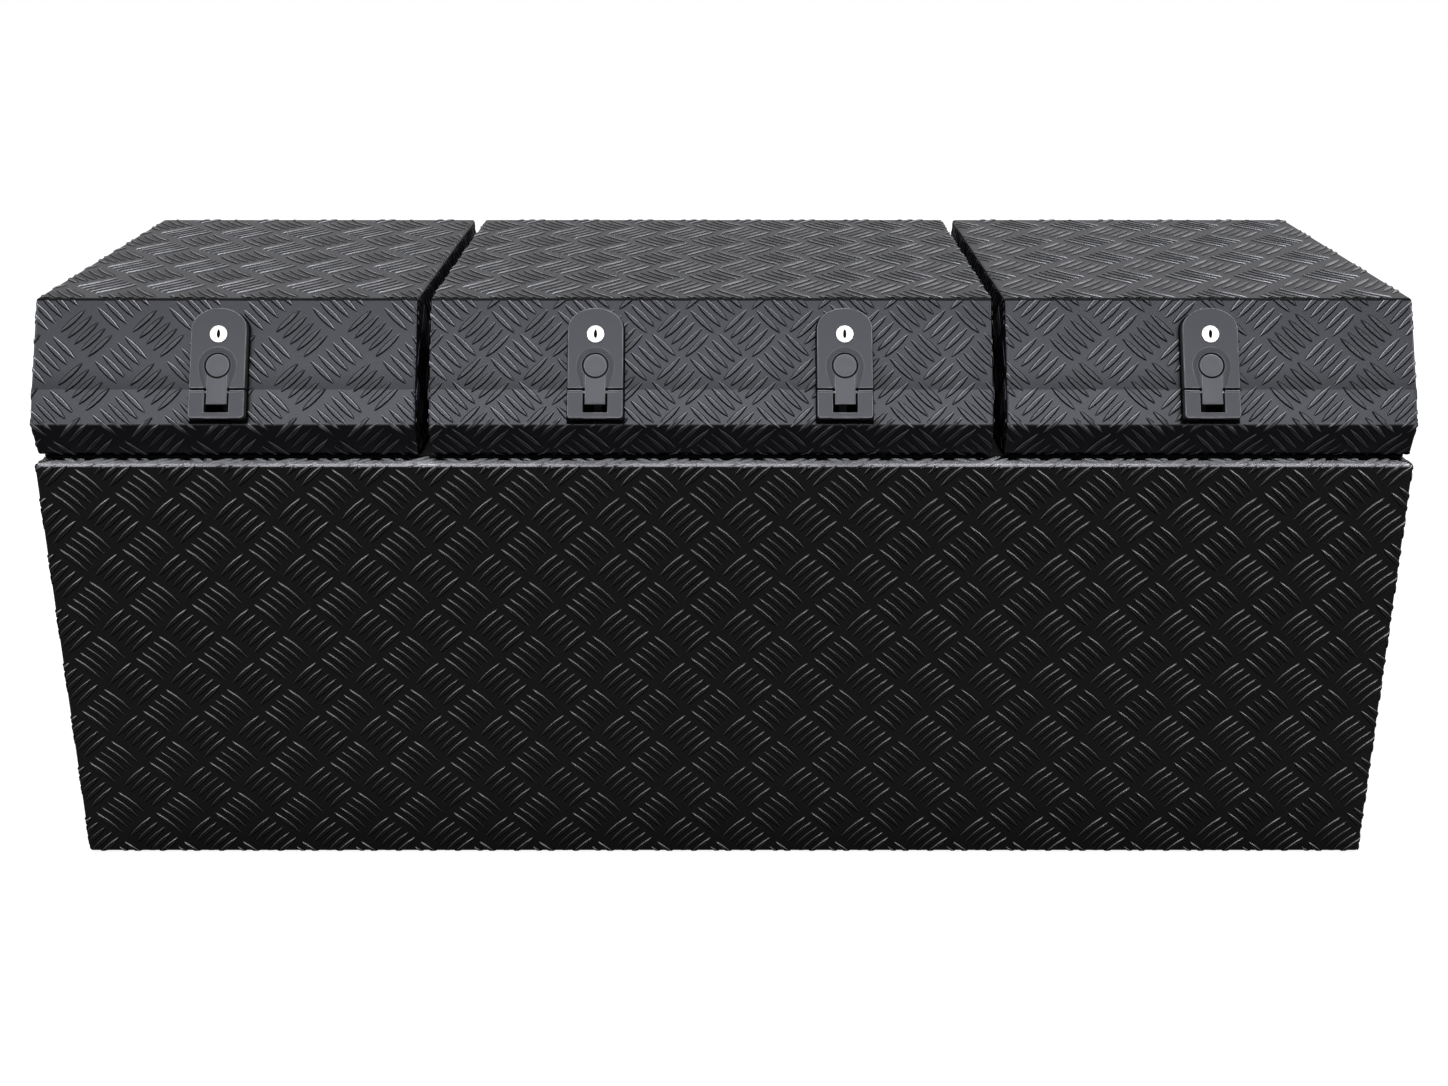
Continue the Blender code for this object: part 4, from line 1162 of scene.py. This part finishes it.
def turned(x, profile, hollow=False):
    """A round part about the button's middle, from rings of radius, height over the face and
    painted highlight. A solid one is closed by a cap at either end, a hollow one from its last
    ring to its first."""
    radius, height, painted_light = [column[:, None] for column in np.array(profile).T]
    angle = np.arange(round_steps) * math.tau / round_steps
    points = on_panel(
        x, radius * np.cos(angle), button_y + radius * np.sin(angle), latch_face + height)
    faces = capped_faces(len(profile), round_steps)
    if hollow:
        faces = [grid_faces(len(profile), round_steps, closed_rows=True, closed_columns=True)]
    return points, faces, np.broadcast_to(painted_light, points.shape[:2])


def collar(x):
    """The raised collar round the button, which runs down beside the tab to the split. Its outer
    and inner line are circles above the button's middle. Below it the outer one narrows to the
    foot with the cosine of its depth, and the inner one goes straight down beside the tab."""
    turn = np.linspace(
        -quarter * (1 - collar_mouth), math.tau - quarter * (1 + collar_mouth), collar_steps)
    cosine, sine = np.cos(turn), np.sin(turn)
    lower = sine < 0
    sink = np.clip(-sine, 0.0, 1.0)
    narrowed = collar_foot_half + (collar_outer - collar_foot_half) * np.cos(sink * quarter)
    outer_x = np.where(lower, np.sign(cosine) * narrowed, collar_outer * cosine)
    outer_y = np.where(lower, -sink * collar_drop, collar_outer * sine)
    inner_y = np.where(lower, outer_y, collar_inner * sine)
    reach = np.sqrt(np.clip(collar_inner ** 2 - inner_y ** 2, 0.0, None))
    straight = np.sign(cosine) * np.maximum(reach, collar_tab_half)
    inner_x = np.where(lower, straight, collar_inner * cosine)
    share, level, painted_light = collar_profile.T
    flat_x = outer_x[:, None] + (inner_x - outer_x)[:, None] * share
    flat_y = outer_y[:, None] + (inner_y - outer_y)[:, None] * share
    points = on_panel(x, flat_x, button_y + flat_y, latch_face + level)
    faces = capped_faces(collar_steps, len(collar_profile))
    return points, faces, np.broadcast_to(painted_light, flat_x.shape)


def key_slot(x):
    """The pointed slot of the lock, a thin black plate shaped like a drop, which paints the shade
    of the open keyway: its half width at share v from its foot up goes with the root of v and a
    power of 1 - v."""
    v = (1 - np.cos(np.linspace(0.0, math.pi, key_slot_steps)))[:, None] / 2
    half_width = key_slot_half * drop_scale * np.sqrt(v) * (1 - v) ** drop_taper
    side = np.array([-1.0, -1.0, 1.0, 1.0])
    level = np.array([-key_slot_depth, key_slot_rise, key_slot_rise, -key_slot_depth])
    flat_y = cylinder_y + key_slot_height * (v - key_slot_middle)
    points = on_panel(x, half_width * side, flat_y, cylinder_face + level)
    return points, capped_faces(key_slot_steps, len(side)), 0.0


def gasket(x):
    """The rim of the gasket: a flat band between two arched outlines, whose outer part is a
    painted shadow round the latch.
    """
    outer = arch_outline(
        latch_half + gasket_margin, latch_foot - gasket_drop, latch_tip + gasket_margin,
        dome_height + gasket_margin)
    inner = arch_outline(gasket_half, gasket_low, gasket_tip, gasket_dome)
    flat = np.stack([outer, outer, inner, inner])
    height = np.array([-plate_rise, gasket_thickness, gasket_thickness, -plate_rise])
    points = on_panel(x, flat[..., 0], flat[..., 1], height[:, None])
    return points, [grid_faces(4, len(outer), closed_rows=True, closed_columns=True)], 0.0


arch_line = arch_outline(
    latch_half - edge_inset, split_y + edge_inset, latch_tip - edge_inset,
    dome_height - edge_inset)
gap = finger_half + edge_inset
housing_line = np.concatenate([
    [(gap, split_y + edge_inset)], arch_line[1:], arch_line[:1], [(-gap, split_y + edge_inset)]])
tab_side = tab_half - edge_inset
tab_top = button_y - math.sqrt(tab_reach ** 2 - tab_side ** 2)
tab_foot = tab_low + edge_inset
tab_line = np.array([
    (-tab_side, tab_top), (-tab_side, tab_foot), (tab_side, tab_foot), (tab_side, tab_top)])
corner = lever_corner * (1 - math.sqrt(0.5))
side = latch_half - edge_inset
foot = latch_foot + lever_inset
sill = finger_low - edge_inset
lever_line = np.array([
    (-side, lever_top), (-side, foot + lever_corner), (-side + corner, foot + corner),
    (-side + lever_corner, foot), (side - lever_corner, foot), (side - corner, foot + corner),
    (side, foot + lever_corner), (side, lever_top), (gap, lever_top), (gap, sill), (-gap, sill),
    (-gap, lever_top)])

for number, x in enumerate(latch_x, start=1):
    tag = "_%d" % number
    lid_body = latch_lids[number - 1] + "_lid"
    for node in ("latch_housing", "latch_lever", "push_button"):
        refinish(node + tag, casting)
    for node in ("lever_pin", "hook"):
        refinish(node + tag, zinc_steel)
    refinish("key_cylinder" + tag, plated)
    # The beads along the castings' edges carry painted highlights.
    make_piece(
        "latch_edge" + tag, [bead(x, housing_line), bead(x, tab_line)], casting, lid_body,
        "latch_casting")
    make_piece("latch_tab_face" + tag, [tab_face(x)], paler_casting, lid_body, "latch_casting")
    make_piece("latch_collar" + tag, [collar(x)], casting_dull, lid_body, "latch_casting")
    make_piece(
        "lever_edge" + tag, [bead(x, lever_line, closed=True)], casting, "lever" + tag,
        "latch_casting")
    make_piece(
        "button_face" + tag, [turned(x, button_profile)], paler_casting, "button" + tag,
        "latch_casting")
    # The black ring in the groove round the button is painted shade.
    make_piece(
        "button_groove_shade" + tag, [turned(x, groove_profile, hollow=True)], rubber, lid_body, "rubber")
    make_piece("key_slot" + tag, [key_slot(x)], key_slot_black, "cylinder" + tag, "bright_metal")
    make_piece("latch_gasket" + tag, [gasket(x)], rubber, lid_body, "rubber")

# Gas struts: painted steel tubes, each with a bright ground rod that slides in it. They stand on
# zinc-plated feet inside the tub and hold the lids by zinc-plated studs.
strut_paint = coat(
    "strut_paint", (0.0120, 0.0120, 0.0130), roughness=0.30, grain=0.00002, mottle=0.08,
    shine=full_shine)
bright_steel = bare_metal("bright_steel", (0.80, 0.81, 0.82), roughness=0.16, brushing=0.03)
for number in (1, 2, 3, 4):
    for node, finish in (("strut_foot", zinc_steel), ("strut_stud", zinc_steel),
                         ("strut_tube", strut_paint), ("strut_rod", bright_steel)):
        refinish("%s_%d" % (node, number), finish)
